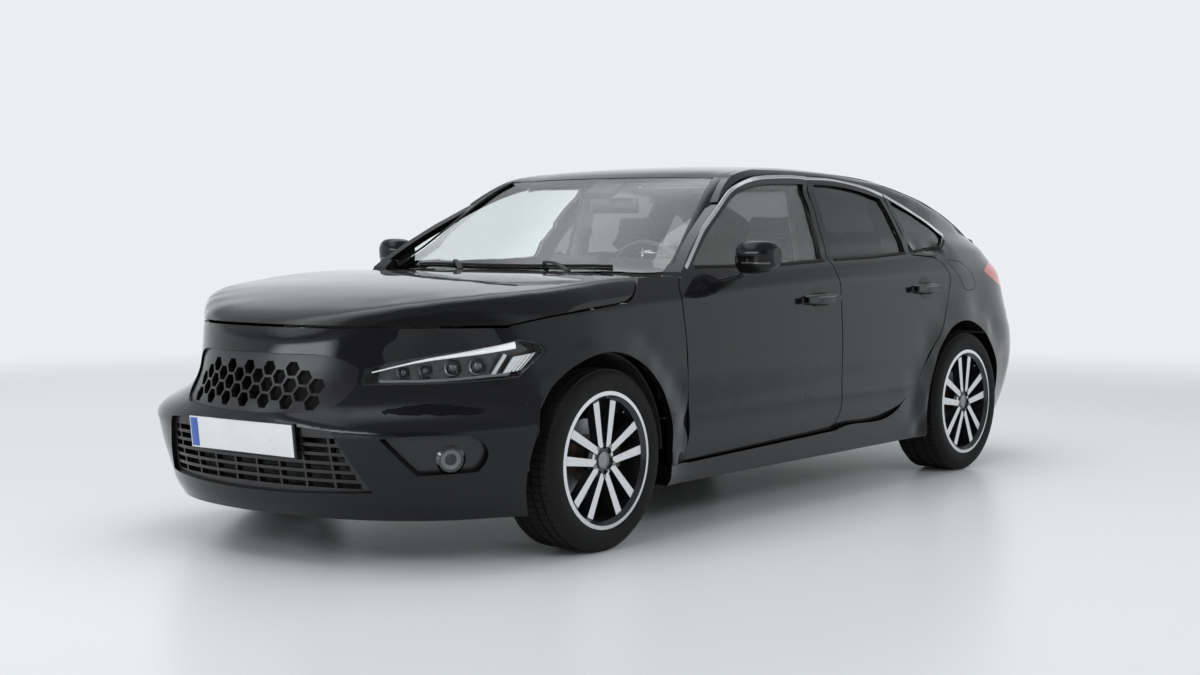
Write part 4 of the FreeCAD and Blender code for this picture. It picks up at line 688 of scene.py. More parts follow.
class Shape:
    """A piece's mesh while it is being made, in metres."""

    def __init__(self) -> None:
        """Starts with an empty mesh."""
        self.mesh = bmesh.new()

    def block(self, low: Point, high: Point, rounding: float = 0.0, turn: Matrix | None = None) -> None:
        """Adds a block with rounded edges.

        Args:
            low: Its lowest corner.
            high: Its highest corner.
            rounding: The radius of its edges.
            turn: A turn or move that is applied to it last.
        """
        low, high = Vector(low), Vector(high)
        place = Matrix.Translation((low + high) / 2) @ Matrix.Diagonal((*(high - low), 1.0))
        made = bmesh.ops.create_cube(self.mesh, size=1.0, matrix=(turn or Matrix()) @ place)["verts"]
        self.ease(made, rounding)

    def ease(self, verts: list[bmesh.types.BMVert], width: float, rings: int = 3, angle: float = 0.5) -> None:
        """Rounds the sharp edges between some vertices.

        Args:
            verts: The vertices.
            width: The rounding's width.
            rings: How many faces each rounded edge gets.
            angle: The least angle between faces that counts as sharp.
        """
        if width:
            inside = set(verts)
            edges = {edge for vert in verts for edge in vert.link_edges if set(edge.verts) <= inside}
            sharp = [edge for edge in edges if edge.calc_face_angle(0.0) > angle]
            bmesh.ops.bevel(self.mesh, geom=sharp, offset=width, segments=rings, profile=0.5, affect="EDGES",
                            material=-1, clamp_overlap=True)

    def rod(self, start: Point, end: Point, radius: float, end_radius: float | None = None, sides: int = 24,
            rounding: float = 0.0) -> None:
        """Adds a round or many-sided bar between two points.

        Args:
            start: The centre of its first end.
            end: The centre of its other end.
            radius: Its radius at the start.
            end_radius: Its radius at the end, if that differs.
            sides: How many sides it has.
            rounding: The radius of its rims.
        """
        start, end = Vector(start), Vector(end)
        axis = end - start
        place = Matrix.Translation((start + end) / 2) @ axis.to_track_quat("Z", "Y").to_matrix().to_4x4()
        made = bmesh.ops.create_cone(self.mesh, cap_ends=True, segments=sides, radius1=radius,
                                     radius2=radius if end_radius is None else end_radius, depth=axis.length,
                                     matrix=place)["verts"]
        self.ease(made, rounding, angle=0.9)

    def lathe(self, profile: Sequence[Pair], centre: Point, axis: Point = (0, 1, 0),
              steps: int = 64, closed: bool = False) -> None:
        """Turns a profile round an axis.

        Args:
            profile: Pairs of radius and distance along the axis.
            centre: The point that the distances start from.
            axis: The axis's direction.
            steps: How many steps the full turn has.
            closed: Whether the profile's last point joins its first.
        """
        centre, axis = Vector(centre), Vector(axis).normalized()
        across = axis.orthogonal().normalized()
        verts = [self.mesh.verts.new(centre + across * radius + axis * along) for radius, along in profile]
        pairs = list(zip(verts, verts[1:])) + ([(verts[-1], verts[0])] if closed else [])
        edges = [self.mesh.edges.new(pair) for pair in pairs]
        bmesh.ops.spin(self.mesh, geom=verts + edges, cent=centre, axis=axis, angle=math.tau, steps=steps,
                       use_merge=True, use_duplicate=False)

    def sweep(self, path: Sequence[Vector], outward: Sequence[Vector], section: Sequence[Pair],
              widths: Sequence[float] | None = None) -> None:
        """Draws a closed section along a path that lies on a surface.

        Args:
            path: The path's points.
            outward: The surface's outward direction at each point.
            section: Pairs of distance across the path and out of the surface.
            widths: How much the section is stretched across at each point.
        """
        places = self.stations(path, outward, widths or [1.0] * len(path))
        verts = [self.mesh.verts.new(places[0] @ Vector((across, out, 0.0))) for across, out in section]
        edges = [self.mesh.edges.new((verts[i - 1], verts[i])) for i in range(len(verts))]
        self.mesh.faces.new(verts)
        for before, after in zip(places, places[1:]):
            made = bmesh.ops.extrude_edge_only(self.mesh, edges=edges)["geom"]
            verts = [item for item in made if isinstance(item, bmesh.types.BMVert)]
            edges = [item for item in made if isinstance(item, bmesh.types.BMEdge)]
            bmesh.ops.transform(self.mesh, matrix=after @ before.inverted(), verts=verts)
        bmesh.ops.holes_fill(self.mesh, edges=edges, sides=0)

    @staticmethod
    def stations(path: Sequence[Vector], outward: Sequence[Vector], widths: Sequence[float]) -> list[Matrix]:
        """Returns a frame at each point of a path.

        Args:
            path: The path's points.
            outward: The surface's outward direction at each point.
            widths: How much the frame is stretched across at each point.

        Returns:
            The frames, with across, out and along in their columns.
        """
        places = []
        for index, point in enumerate(path):
            along = (path[min(index + 1, len(path) - 1)] - path[max(index - 1, 0)]).normalized()
            across = along.cross(outward[index]).normalized()
            out = across.cross(along)
            place = Matrix((across * widths[index], out, along)).transposed().to_4x4()
            place.translation = point
            places.append(place)
        return places

    def sheet(self, across: int, along: int, place: Callable[[float, float], Vector],
              wall: float = 0.0) -> None:
        """Adds a curved sheet.

        Args:
            across: How many faces it has one way.
            along: How many faces it has the other way.
            place: Gives the point for two shares between 0 and 1.
            wall: Its thickness, behind its face.
        """
        made = bmesh.ops.create_grid(self.mesh, x_segments=across, y_segments=along, size=0.5)["verts"]
        for vert in made:
            vert.co = place(vert.co.x + 0.5, vert.co.y + 0.5)
        if wall:
            faces = list({face for vert in made for face in vert.link_faces})
            bmesh.ops.recalc_face_normals(self.mesh, faces=faces)
            bmesh.ops.solidify(self.mesh, geom=faces, thickness=wall)

    def mirror(self) -> None:
        """Adds the same shape on the other side of the car."""
        whole = self.mesh.verts[:] + self.mesh.edges[:] + self.mesh.faces[:]
        bmesh.ops.mirror(self.mesh, geom=whole, axis="Y", merge_dist=0.00001)

    def piece(self, name: str, finish: Finish, body: str, slot: str | None = None, turned: bool = True,
              sharp: float = 0.6) -> bpy.types.Object:
        """Ends the mesh as a piece of the scene.

        Args:
            name: The piece's name.
            finish: What it is finished in.
            body: The body that it moves with.
            slot: Not used.
            turned: Whether its faces are turned outwards here.
            sharp: The angle from which an edge stays sharp.

        Returns:
            The object.
        """
        if turned:
            bmesh.ops.remove_doubles(self.mesh, verts=self.mesh.verts, dist=0.000005)
            bmesh.ops.recalc_face_normals(self.mesh, faces=self.mesh.faces)
        for face in self.mesh.faces:
            face.smooth = True
        for edge in self.mesh.edges:
            edge.smooth = edge.calc_face_angle(0.0) < sharp
        data = bpy.data.meshes.new(name)
        self.mesh.to_mesh(data)
        self.mesh.free()
        data.materials.append(finish.material())
        made = bpy.data.objects.new(name, data)
        bpy.context.scene.collection.objects.link(made)
        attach(made, body)
        LOG.info("%s on %s in %s, %d faces", name, body, finish.name, len(data.polygons))
        return made


class Skin:
    """The outside of some nodes, found by rays."""

    def __init__(self, *nodes: str) -> None:
        """Joins the nodes' meshes in one search tree.

        Args:
            nodes: The nodes' names.
        """
        points: list[Vector] = []
        faces: list[list[int]] = []
        for node in nodes:
            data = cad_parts[node].data
            start = len(points)
            points += [vert.co.copy() for vert in data.vertices]
            faces += [[start + index for index in face.vertices] for face in data.polygons]
        self.tree = BVHTree.FromPolygons(points, faces)

    def hit(self, start: Point, heading: Point) -> Hit | None:
        """Returns the first point on a ray and the outward direction there, or None.

        Args:
            start: Where the ray starts.
            heading: Where it goes.

        Returns:
            The point and the direction, or None where the ray meets nothing.
        """
        point, normal, _, _ = self.tree.ray_cast(Vector(start), Vector(heading))
        if point is None:
            return None
        if normal.dot(Vector(heading)) > 0:
            normal = -normal
        return point, normal

    def beside(self, x: float, z: float) -> Hit | None:
        """Returns the point and direction seen straight from the left."""
        return self.hit((x, 2.0, z), (0, -1, 0))

    def ahead(self, y: float, z: float) -> Hit | None:
        """Returns the point and direction seen straight from the front."""
        return self.hit((3.5, y, z), (-1, 0, 0))

    def above(self, x: float, y: float) -> Hit | None:
        """Returns the point and direction seen straight from above."""
        return self.hit((x, y, 3.0), (0, 0, -1))


def parted(hits: Sequence[Hit | None], flip: Point = (1, 1, 1)) -> tuple[list[Vector], list[Vector]]:
    """Returns the points and the directions of the rays that met something.

    Args:
        hits: What each ray gave.
        flip: The signs that turn the left side into the wanted side.

    Returns:
        The points, and the outward directions at them.
    """
    signs = Vector(flip)
    met = [found for found in hits if found]
    return [point * signs for point, _ in met], [normal * signs for _, normal in met]


def tilted(place: Point, degrees: float) -> Matrix:
    """Returns a place that is tilted about the axis across the car."""
    return Matrix.Translation(place) @ Matrix.Rotation(math.radians(degrees), 4, "Y")


def spread(start: float, span: float, count: int) -> list[float]:
    """Returns evenly spread numbers from a start over a span, with both ends."""
    return [start + span * index / (count - 1) for index in range(count)]


def smooth_line(points: Sequence[Pair], count: int) -> list[Pair]:
    """Returns evenly spread points on a smooth curve through a few.

    Args:
        points: The points that the curve passes.
        count: How many points are returned.

    Returns:
        The points of the curve.
    """
    ends = [points[0], *points, points[-1]]
    dense = []
    for before, start, end, after in zip(ends, ends[1:], ends[2:], ends[3:]):
        for share in (i / 24 for i in range(24)):
            weights = (-share ** 3 + 2 * share ** 2 - share, 3 * share ** 3 - 5 * share ** 2 + 2,
                       -3 * share ** 3 + 4 * share ** 2 + share, share ** 3 - share ** 2)
            corners = (before, start, end, after)
            dense.append(tuple(sum(w * p[axis] for w, p in zip(weights, corners)) / 2 for axis in (0, 1)))
    dense.append(tuple(points[-1]))
    lengths = [0.0]
    for first, second in zip(dense, dense[1:]):
        lengths.append(lengths[-1] + math.dist(first, second))
    line = []
    for index in range(count):
        wanted = lengths[-1] * index / (count - 1)
        place = min(max(next((i for i, s in enumerate(lengths) if s >= wanted), 1), 1), len(dense) - 1)
        (x, z), (next_x, next_z) = dense[place - 1], dense[place]
        share = (wanted - lengths[place - 1]) / (lengths[place] - lengths[place - 1] or 1.0)
        line.append((x + (next_x - x) * share, z + (next_z - z) * share))
    return line


def beside_line(line: Sequence[Pair], distance: float) -> list[Pair]:
    """Returns a line moved to its right.

    Args:
        line: The line's points.
        distance: How far it moves.

    Returns:
        The moved points.
    """
    moved = []
    for index, (x, z) in enumerate(line):
        before, after = line[max(index - 1, 0)], line[min(index + 1, len(line) - 1)]
        step = math.dist(before, after) or 1.0
        turned = (after[1] - before[1], before[0] - after[0])
        moved.append((x + turned[0] / step * distance, z + turned[1] / step * distance))
    return moved


def strip_section(width: float, height: float, sink: float = 0.0006) -> list[Pair]:
    """Returns the section of a flat strip with rounded shoulders."""
    half = width / 2
    left = [(-half, -sink), (-half, height * 0.55), (-half * 0.8, height)]
    return left + [(-across, out) for across, out in reversed(left)]


# Sub-assemblies


@dataclass
class Studio:
    """Floor, background, lamps and the camera at the photograph's angle."""

    place: Triple = (6.2574, 4.6666, 1.1278)
    heading: float = 217.984
    dip: float = -3.477
    lens: float = 53.42
    sky: Colour = (0.95, 0.97, 1.0)
    ambient: float = 0.5
    walls: tuple[tuple[float, Colour], ...] = (
        (0.0, BACKGROUND), (0.32, BACKGROUND), (0.46, (0.4, 0.41, 0.42)), (1.0, (0.3, 0.31, 0.32)))
    horizon: float = 0.05
    panel: float = 3.6
    panel_ends: Pair = (1.5, 0.9)
    panel_sides: Pair = (0.55, 0.15)
    panel_offset: float = 0.62
    dimming: float = 0.8
    dim_zone: Pair = (0.72, 0.95)
    strip: float = 7.0
    strip_heading: float = -12.0
    strip_ends: Pair = (0.86, 0.95)
    strip_foot: Pair = (0.1, 0.15)
    strip_top: Pair = (0.32, 0.24)

    def build(self) -> None:
        """Makes the whole studio."""
        self.floor()
        self.world()
        self.lamps()
        self.camera()
        bpy.context.scene.view_settings.view_transform = "Standard"

    def floor(self) -> None:
        """Lays a wide pale floor."""
        data = bpy.data.meshes.new("floor")
        mesh = bmesh.new()
        bmesh.ops.create_circle(mesh, cap_ends=True, segments=96, radius=45.0)
        mesh.to_mesh(data)
        mesh.free()
        data.materials.append(Floor().material())
        made = bpy.data.objects.new("floor", data)
        bpy.context.scene.collection.objects.link(made)

    def world(self) -> None:
        """Shows the pale background, mirrors the room and lights with a softer sky."""
        world = bpy.data.worlds.new("studio")
        bpy.context.scene.world = world
        world.use_nodes = True
        tree = Tree(world.node_tree)
        rays = tree.node("LightPath").outputs
        kinds = ("Camera", "Glossy", "Transmission")
        camera, glossy, through = (Value(tree, rays[f"Is {kind} Ray"]) for kind in kinds)
        seen = camera.math("ADD", glossy + through, use_clamp=True)
        room = tree.blend(glossy.math("SUBTRACT", through, use_clamp=True), BACKGROUND, self.ceiling(tree))
        shown = tree.node("Background", {"Color": room}).outputs[0]
        light = tree.node("Background", {"Color": self.sky, "Strength": self.ambient}).outputs[0]
        mixed = tree.node("MixShader", {0: seen, 1: light, 2: shown}).outputs[0]
        tree.node("OutputWorld", {"Surface": mixed})

    def ceiling(self, tree: Tree) -> Socket:
        """Returns what glossy surfaces mirror: pale walls, dim ceiling, far panel, front strip and dim front.

        Args:
            tree: The world's tree.

        Returns:
            The colour socket.
        """
        along, side, up = tree.axes(tree.node("TexCoord").outputs["Generated"])
        shade = tree.node("ValToRGB", {"Fac": up}, stops=self.walls).outputs["Color"]
        high = up.math("MAXIMUM", self.horizon)
        panel = tree.step(abs(along / high), *self.panel_ends)
        panel = panel * tree.step(abs(side / high + self.panel_offset), *self.panel_sides)
        front_light = tree.step(self.facing(along, side, self.strip_heading), *self.strip_ends)
        front_light = front_light * tree.step(up, *self.strip_foot) * tree.step(up, *self.strip_top)
        towards = self.facing(along, side, self.heading - 180)
        level = 1 - tree.step(towards, *self.dim_zone) * self.dimming + panel * self.panel
        level = level + front_light * self.strip
        return tree.node("VectorMath", {0: shade, "Scale": level}, operation="SCALE").outputs[0]

    @staticmethod
    def facing(along: Value, side: Value, degrees: float) -> Value:
        """Returns how far a direction points along a level heading."""
        turn = math.radians(degrees)
        return along * math.cos(turn) + side * math.sin(turn)

    def lamps(self) -> None:
        """Hangs the soft lamps."""
        self.lamp("overhead", (0.3, 0.0, 4.6), (0.3, 0.0, 0.0), (7.5, 2.6), 118.0)
        self.lamp("side_key", (1.5, 6.5, 3.6), (0.2, 0.0, 0.7), (7.0, 1.6), 118.0)
        self.lamp("nose_fill", (7.0, -1.0, 3.0), (1.5, 0.0, 0.6), (3.0, 1.6), 70.0)
        self.lamp("far_side", (-0.5, -6.5, 3.2), (0.0, 0.0, 0.7), (7.0, 1.6), 70.0)

    @staticmethod
    def lamp(name: str, place: Point, target: Point, size: Pair, power: float) -> None:
        """Hangs one soft lamp.

        Args:
            name: The lamp's name.
            place: Where it hangs.
            target: What it faces.
            size: Its length and width.
            power: Its power in watts.
        """
        data = bpy.data.lights.new(name, "AREA")
        data.shape = "RECTANGLE"
        data.size, data.size_y = size
        data.energy = power
        made = bpy.data.objects.new(name, data)
        made.visible_glossy = False
        made.location = place
        made.rotation_euler = (Vector(target) - Vector(place)).to_track_quat("-Z", "Y").to_euler()
        bpy.context.scene.collection.objects.link(made)

    def camera(self) -> None:
        """Puts the camera where the photograph was taken from."""
        data = bpy.data.cameras.new("camera")
        data.lens = self.lens
        data.sensor_width = 36.0
        data.dof.use_dof = False
        made = bpy.data.objects.new("camera", data)
        turn, dip = math.radians(self.heading), math.radians(self.dip)
        gaze = Vector((math.cos(dip) * math.cos(turn), math.cos(dip) * math.sin(turn), math.sin(dip)))
        made.location = self.place
        made.rotation_euler = gaze.to_track_quat("-Z", "Y").to_euler()
        bpy.context.scene.collection.objects.link(made)
        bpy.context.scene.camera = made


@dataclass
class Panels:
    """The nodes that keep their own shape and get a finish."""

    finishes: dict[str, Finish] = field(default_factory=lambda: NODE_FINISHES)

    def dress(self) -> None:
        """Gives every carried-over node its finish."""
        for name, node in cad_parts.items():
            finish = self.finish(name)
            if finish is None:
                LOG.warning("no finish for %s", name)
                continue
            self.paint(node, finish)

    def finish(self, name: str) -> Finish | None:
        """Returns the finish of the longest name that a node's name starts with."""
        fitting = [key for key in self.finishes if name.startswith(key)]
        return self.finishes[max(fitting, key=len)] if fitting else None

    @staticmethod
    def paint(node: bpy.types.Object, finish: Finish) -> None:
        """Puts one finish on every slot of a node.

        Args:
            node: The node.
            finish: The finish.
        """
        if not node.material_slots:
            node.data.materials.append(finish.material())
        for slot in node.material_slots:
            slot.material = finish.material()


@dataclass
class Wheel:
    """One road wheel: treaded tyre, cap, bolts and valve on the machined rim."""

    axle: str
    side: Side
    x: float
    middle: float
    radius: float = 0.3225
    hub_face: float = 0.092
    face: float = 0.064
    bolt_circle: float = 0.05715
    pitches: int = 72
    crown: float = 0.3162
    block_height: float = 0.0058
    tread_floor: float = 0.311
    ribs: tuple[Pair, ...] = ((-0.0965, -0.0715), (-0.064, -0.031), (-0.0235, 0.0235), (0.031, 0.064),
                              (0.0715, 0.0965))
    sidewall: tuple[Pair, ...] = ((0.2295, 0.1), (0.237, 0.1075), (0.25, 0.1135), (0.268, 0.1172),
                                  (0.286, 0.1172), (0.3, 0.1135), (0.3095, 0.107))
    lining: tuple[Pair, ...] = ((0.236, -0.094), (0.302, -0.1), (0.307, 0.0), (0.302, 0.1), (0.236, 0.094))

    @property
    def tag(self) -> str:
        """Returns the wheel's place, for the names."""
        return f"{self.axle}_{self.side.word}"

    @property
    def body(self) -> str:
        """Returns the body that the wheel turns with."""
        return f"wheel_{self.tag}"

    @property
    def centre(self) -> Triple:
        """Returns the middle of the wheel."""
        return self.x, self.side.value * self.middle, self.radius

    def build(self) -> None:
        """Makes the wheel's pieces and finishes its rim and disc."""
        self.tyre()
        self.cap()
        self.bolts()
        rim = TurnedAlloy(f"turned_alloy_{self.tag}", self.centre, self.face)
        Panels.paint(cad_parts[f"rim_{self.tag}"], rim)
        Panels.paint(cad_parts[f"disc_{self.tag}"], BrakeSteel(f"brake_disc_{self.tag}", self.centre))

    def tyre(self) -> None:
        """Turns the tyre, then raises its tread blocks."""
        crown = [(self.crown - 0.18 * y ** 2, y) for rib in self.ribs for y in rib]
        profile = [*self.sidewall, *crown[::-1], *((r, -y) for r, y in reversed(self.sidewall)), *self.lining]
        shape = Shape()
        shape.lathe(profile, self.centre, (0, self.side.value, 0), self.pitches, closed=True)
        bmesh.ops.remove_doubles(shape.mesh, verts=shape.mesh.verts, dist=0.00001)
        bmesh.ops.recalc_face_normals(shape.mesh, faces=shape.mesh.faces)
        blocks = [face for face in shape.mesh.faces if self.on_rib(face.calc_center_median())]
        bmesh.ops.inset_individual(shape.mesh, faces=blocks, thickness=0.0013, depth=self.block_height,
                                   use_even_offset=True)
        rubber = Rubber(f"tyre_rubber_{self.tag}", (0.005, 0.005, 0.0054), self.centre, self.radius - 0.004)
        tyre = shape.piece(f"treaded_tyre_{self.tag}", rubber, self.body, "tyre_rubber", turned=False)
        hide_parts(f"tyre_{self.tag}")

    def on_rib(self, point: Vector) -> bool:
        """Returns whether a point is on a rib of the crown.

        Args:
            point: The point.

        Returns:
            True where it's far enough out and between a rib's edges.
        """
        along = point.y - self.centre[1]
        reach = math.hypot(point.x - self.centre[0], point.z - self.centre[2])
        return reach > self.tread_floor and any(low < along < high for low, high in self.ribs)

    def cap(self) -> None:
        """Turns the bare centre cap with its rim."""
        shape = Shape()
        rim = ((0.0, 0.0042), (0.02, 0.0038), (0.025, 0.003), (0.026, 0.0046), (0.0295, 0.004),
               (0.0305, 0.001), (0.0305, -0.002), (0.0, -0.002))
        profile = [(radius, self.hub_face + depth) for radius, depth in rim]
        shape.lathe(profile, self.centre, (0, self.side.value, 0), 48)
        shape.piece(f"hub_cap_{self.tag}", SATIN_GREY, self.body, "rim_alloy")

    def bolts(self) -> None:
        """Sets five hexagonal bolts in their seats, and the valve."""
        seats, heads = Shape(), Shape()
        x, y, z = self.centre
        out = self.side.value
        for index in range(5):
            turn = math.tau * (index + 0.5) / 5 + math.pi / 2
            bolt_x, bolt_z = x + self.bolt_circle * math.cos(turn), z + self.bolt_circle * math.sin(turn)
            ends = [(bolt_x, y + out * (self.hub_face + depth), bolt_z) for depth in (-0.004, 0.0008, 0.009)]
            seats.rod(ends[0], ends[1], 0.0145, sides=28, rounding=0.0006)
            heads.rod(ends[0], ends[2], 0.0098, 0.0092, sides=6, rounding=0.0012)
        turn = math.tau * 0.1 + math.pi / 2
        foot, tip = ((x + far * math.cos(turn), y + out * deep, z + far * math.sin(turn))
                     for far, deep in ((0.214, 0.07), (0.196, 0.094)))
        heads.rod(foot, tip, 0.0042, 0.0036, sides=14, rounding=0.0006)
        seats.piece(f"bolt_seats_{self.tag}", PIANO_BLACK, self.body, "rim_alloy")
        heads.piece(f"wheel_bolts_{self.tag}", DARK_CHROME, self.body, "brake_steel")


@dataclass
class WindowTrim:
    """Bright strip over the side windows, with the rubber seals below them."""

    side: Side
    width: float = 0.016
    height: float = 0.003
    inset: float = 0.0105
    front_frame: tuple[Pair, ...] = (
        (rear(976), 1.358), (rear(1100), 1.362), (rear(1320), 1.354), (front(-1287), 1.337),
        (front(-1160), 1.302), (front(-1047), 1.255), (front(-904), 1.186), (front(-782), 1.123),
        (front(-580), 0.991))
    rear_frame: tuple[Pair, ...] = (
        (rear(345), 1.2935), (rear(506), 1.33), (rear(736), 1.356), (rear(960), 1.358))
    quarter_frame: tuple[Pair, ...] = (
        (rear(-92), 1.1), (rear(0), 1.152), (rear(130), 1.2105), (rear(290), 1.2725), (rear(328), 1.289))
    front_belt: tuple[Pair, ...] = ((rear(1136), 0.996), (front(-1150), 0.984), (front(-655), 0.986))
    rear_belt: tuple[Pair, ...] = ((rear(392), 1.02), (rear(700), 1.006), (rear(1050), 0.998))
    quarter_belt: tuple[Pair, ...] = (
        (rear(-54), 1.076), (rear(-19), 1.0605), (rear(21), 1.0485), (rear(81), 1.0385), (rear(161), 1.0335),
        (rear(241), 1.0305), (rear(301), 1.0235))

    def build(self) -> None:
        """Makes the strips and seals of one side."""
        word = self.side.word
        front_body, rear_body = f"door_front_{word}", f"door_rear_{word}"
        self.strip("front_frame", self.front_frame, "door_front_left", front_body, 90, self.inset)
        self.strip("rear_frame", self.rear_frame, "door_rear_left", rear_body, 48, self.inset)
        self.strip("quarter_frame", self.quarter_frame, "body_side_left", "shell", 40, 0.004, tail=1.9)
        self.seal("front_belt", self.front_belt, "door_front_left", front_body)
        self.seal("rear_belt", self.rear_belt, "door_rear_left", rear_body)
        self.seal("quarter_belt", self.quarter_belt, "body_side_left", "shell")

    def strip(self, name: str, line: Sequence[Pair], node: str, body: str, count: int, inset: float,
              tail: float = 1.0) -> None:
        """Lays one bright strip.

        Args:
            name: What it frames.
            line: The frame's edge in side view.
            node: The left node that it lies on.
            body: The body that it moves with.
            count: How many points it follows.
            inset: How far inside the edge it runs.
            tail: How much wider its first end is.
        """
        path, outward = self.laid(beside_line(smooth_line(line, count), inset), node)
        widths = [1.0 + (tail - 1.0) * max(0.0, 1.0 - 3.0 * i / len(path)) ** 2 for i in range(len(path))]
        shape = Shape()
        shape.sweep(path, outward, strip_section(self.width, self.height), widths)
        shape.piece(f"bright_{name}_{self.side.word}", CHROME, body)

    def seal(self, name: str, line: Sequence[Pair], node: str, body: str) -> None:
        """Lays one rubber seal along the foot of a window.

        Args:
            name: What it seals.
            line: Its line in side view.
            node: The left node that it lies on.
            body: The body that it moves with.
        """
        shape = Shape()
        shape.sweep(*self.laid(smooth_line(line, 40), node), strip_section(0.011, 0.0034))
        shape.piece(f"seal_{name}_{self.side.word}", SEAL_BLACK, body)

    def laid(self, line: Sequence[Pair], node: str) -> tuple[list[Vector], list[Vector]]:
        """Lays a side-view line on a left node and turns it to this side.

        Args:
            line: The line's points as x and z.
            node: The left node.

        Returns:
            The points and the outward directions.
        """
        skin = Skin(node)
        hits = [found for found in (skin.beside(x, z) for x, z in line) if found and found[0].y > 0.3]
        return parted(hits, self.side.flip)


@dataclass
class Headlamp:
    """One headlamp: clear cover, dark bucket, light guide, projectors and end reflector."""

    side: Side
    cover_wall: float = 0.003
    bucket_wall: float = 0.0025
    top: tuple[Pair, ...] = (
        (front(712), 0.664), (front(585), 0.702), (front(470), 0.728), (front(350), 0.758))
    bar: tuple[Pair, ...] = ((1.757, 0.708), (1.793, 0.64))
    ledge: tuple[Pair, ...] = ((2.06, 0.6245), (1.92, 0.626), (1.75, 0.643))
    corners: tuple[Pair, ...] = ((1.739, 0.7), (1.668, 0.7135), (1.716, 0.655), (1.768, 0.646))
    projectors: tuple[tuple[float, float, float, float], ...] = (
        (2.0, 0.652, 0.017, 0.03), (1.949, 0.656, 0.017, 0.03), (1.887, 0.664, 0.023, 0.032),
        (1.83, 0.668, 0.024, 0.03))

    def build(self) -> None:
        """Makes the lamp's pieces."""
        self.skin = Skin("headlamp_left")
        self.shells()
        self.guide()
        self.lenses()
        self.reflector()

    def end(self, shape: Shape, name: str, finish: Finish, sharp: float = 0.6) -> bpy.types.Object:
        """Ends one of the lamp's pieces."""
        return shape.piece(f"{name}_{self.side.word}", finish, "shell", "lamp_glass", sharp=sharp)

    @staticmethod
    def outer_faces(node: bpy.types.Object) -> set[int]:
        """Returns the numbers of the faces of the lamp's outer skin.

        Args:
            node: The lamp's node.

        Returns:
            Numbers of the merged mesh's faces, found by growing over smooth edges.
        """
        mesh = Headlamp.merged(node)

        def seen(face: bmesh.types.BMFace) -> float:
            """Returns a face's area, or nothing where it doesn't look forwards and outwards."""
            away = face.normal.dot(face.calc_center_median() - Vector((1.2, 0, 0.66)))
            return face.calc_area() if face.normal.x > 0.3 and abs(face.normal.y) > 0.3 and away > 0 else 0.0

        seed = max(mesh.faces, key=seen)
        found, waiting = {seed.index}, [seed]
        while waiting:
            face = waiting.pop()
            for edge in face.edges:
                if edge.calc_face_angle(3.0) < 0.5:
                    for other in edge.link_faces:
                        if other.index not in found:
                            found.add(other.index)
                            waiting.append(other)
        mesh.free()
        return found

    @staticmethod
    def merged(node: bpy.types.Object) -> bmesh.types.BMesh:
        """Returns a merged copy of a node's mesh.

        Args:
            node: The node.

        Returns:
            The copy, with its faces numbered.
        """
        mesh = bmesh.new()
        mesh.from_mesh(node.data)
        bmesh.ops.remove_doubles(mesh, verts=mesh.verts, dist=0.00001)
        mesh.faces.ensure_lookup_table()
        mesh.faces.index_update()
        return mesh

    def part(self, node: bpy.types.Object, faces: set[int], kept: bool) -> Shape:
        """Returns some of the lamp's faces as a shape.

        Args:
            node: The lamp's node.
            faces: The faces of its outer skin.
            kept: Whether these are kept or all the others.

        Returns:
            The shape.
        """
        shape = Shape()
        shape.mesh = self.merged(node)
        away = [face for face in shape.mesh.faces if (face.index in faces) != kept]
        bmesh.ops.delete(shape.mesh, geom=away, context="FACES")
        return shape

    def shells(self) -> None:
        """Makes the clear cover from the lamp's outer skin, and the dark bucket from its walls and back."""
        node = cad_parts[f"headlamp_{self.side.word}"]
        outer = self.outer_faces(node)
        skin, walls = self.part(node, outer, True), self.part(node, outer, False)
        bmesh.ops.solidify(skin.mesh, geom=skin.mesh.faces[:], thickness=self.cover_wall)
        cover = self.end(skin, "lamp_cover", COVER_GLASS)
        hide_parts(node.name)
        for face in walls.mesh.faces:
            face.normal_flip()
        bmesh.ops.solidify(walls.mesh, geom=walls.mesh.faces[:], thickness=-self.bucket_wall)
        self.end(walls, "lamp_bucket", LAMP_DARK, 0.4)

    def inside(self, x: float, z: float, depth: float) -> Hit:
        """Returns a point at a depth behind the cover and the outward direction, on this side."""
        point, normal = self.skin.beside(x, z)
        return (point - normal * depth) * self.side.flip, normal * self.side.flip

    def guide(self) -> None:
        """Lays the milky light guide under the lamp's upper edge, and the bar across its end."""
        upper = smooth_line(self.top, 40)
        line = beside_line(upper[1:-1], -0.0145)
        if line[0][1] > upper[1][1]:
            line = beside_line(upper[1:-1], 0.0145)
        laid = [self.inside(x, z, 0.014) for x, z in line]
        widths = [0.3 + 1.6 * (index / len(laid)) ** 1.6 for index in range(len(laid))]
        section = [(-0.0065, -0.006), (-0.0075, 0.001), (-0.003, 0.005), (0.003, 0.005), (0.0075, 0.001),
                   (0.0065, -0.006)]
        shape = Shape()
        shape.sweep(*parted(laid), section, widths)
        self.end(shape, "light_guide", WHITE_GUIDE)
        bars = Shape()
        (x, z), (end_x, end_z) = self.bar
        path = [self.inside(x + (end_x - x) * i / 8, z + (end_z - z) * i / 8, 0.02) for i in range(9)]
        bars.sweep(*parted(path), strip_section(0.013, 0.008, 0.004))
        self.end(bars, "light_bar", GREY_GUIDE)

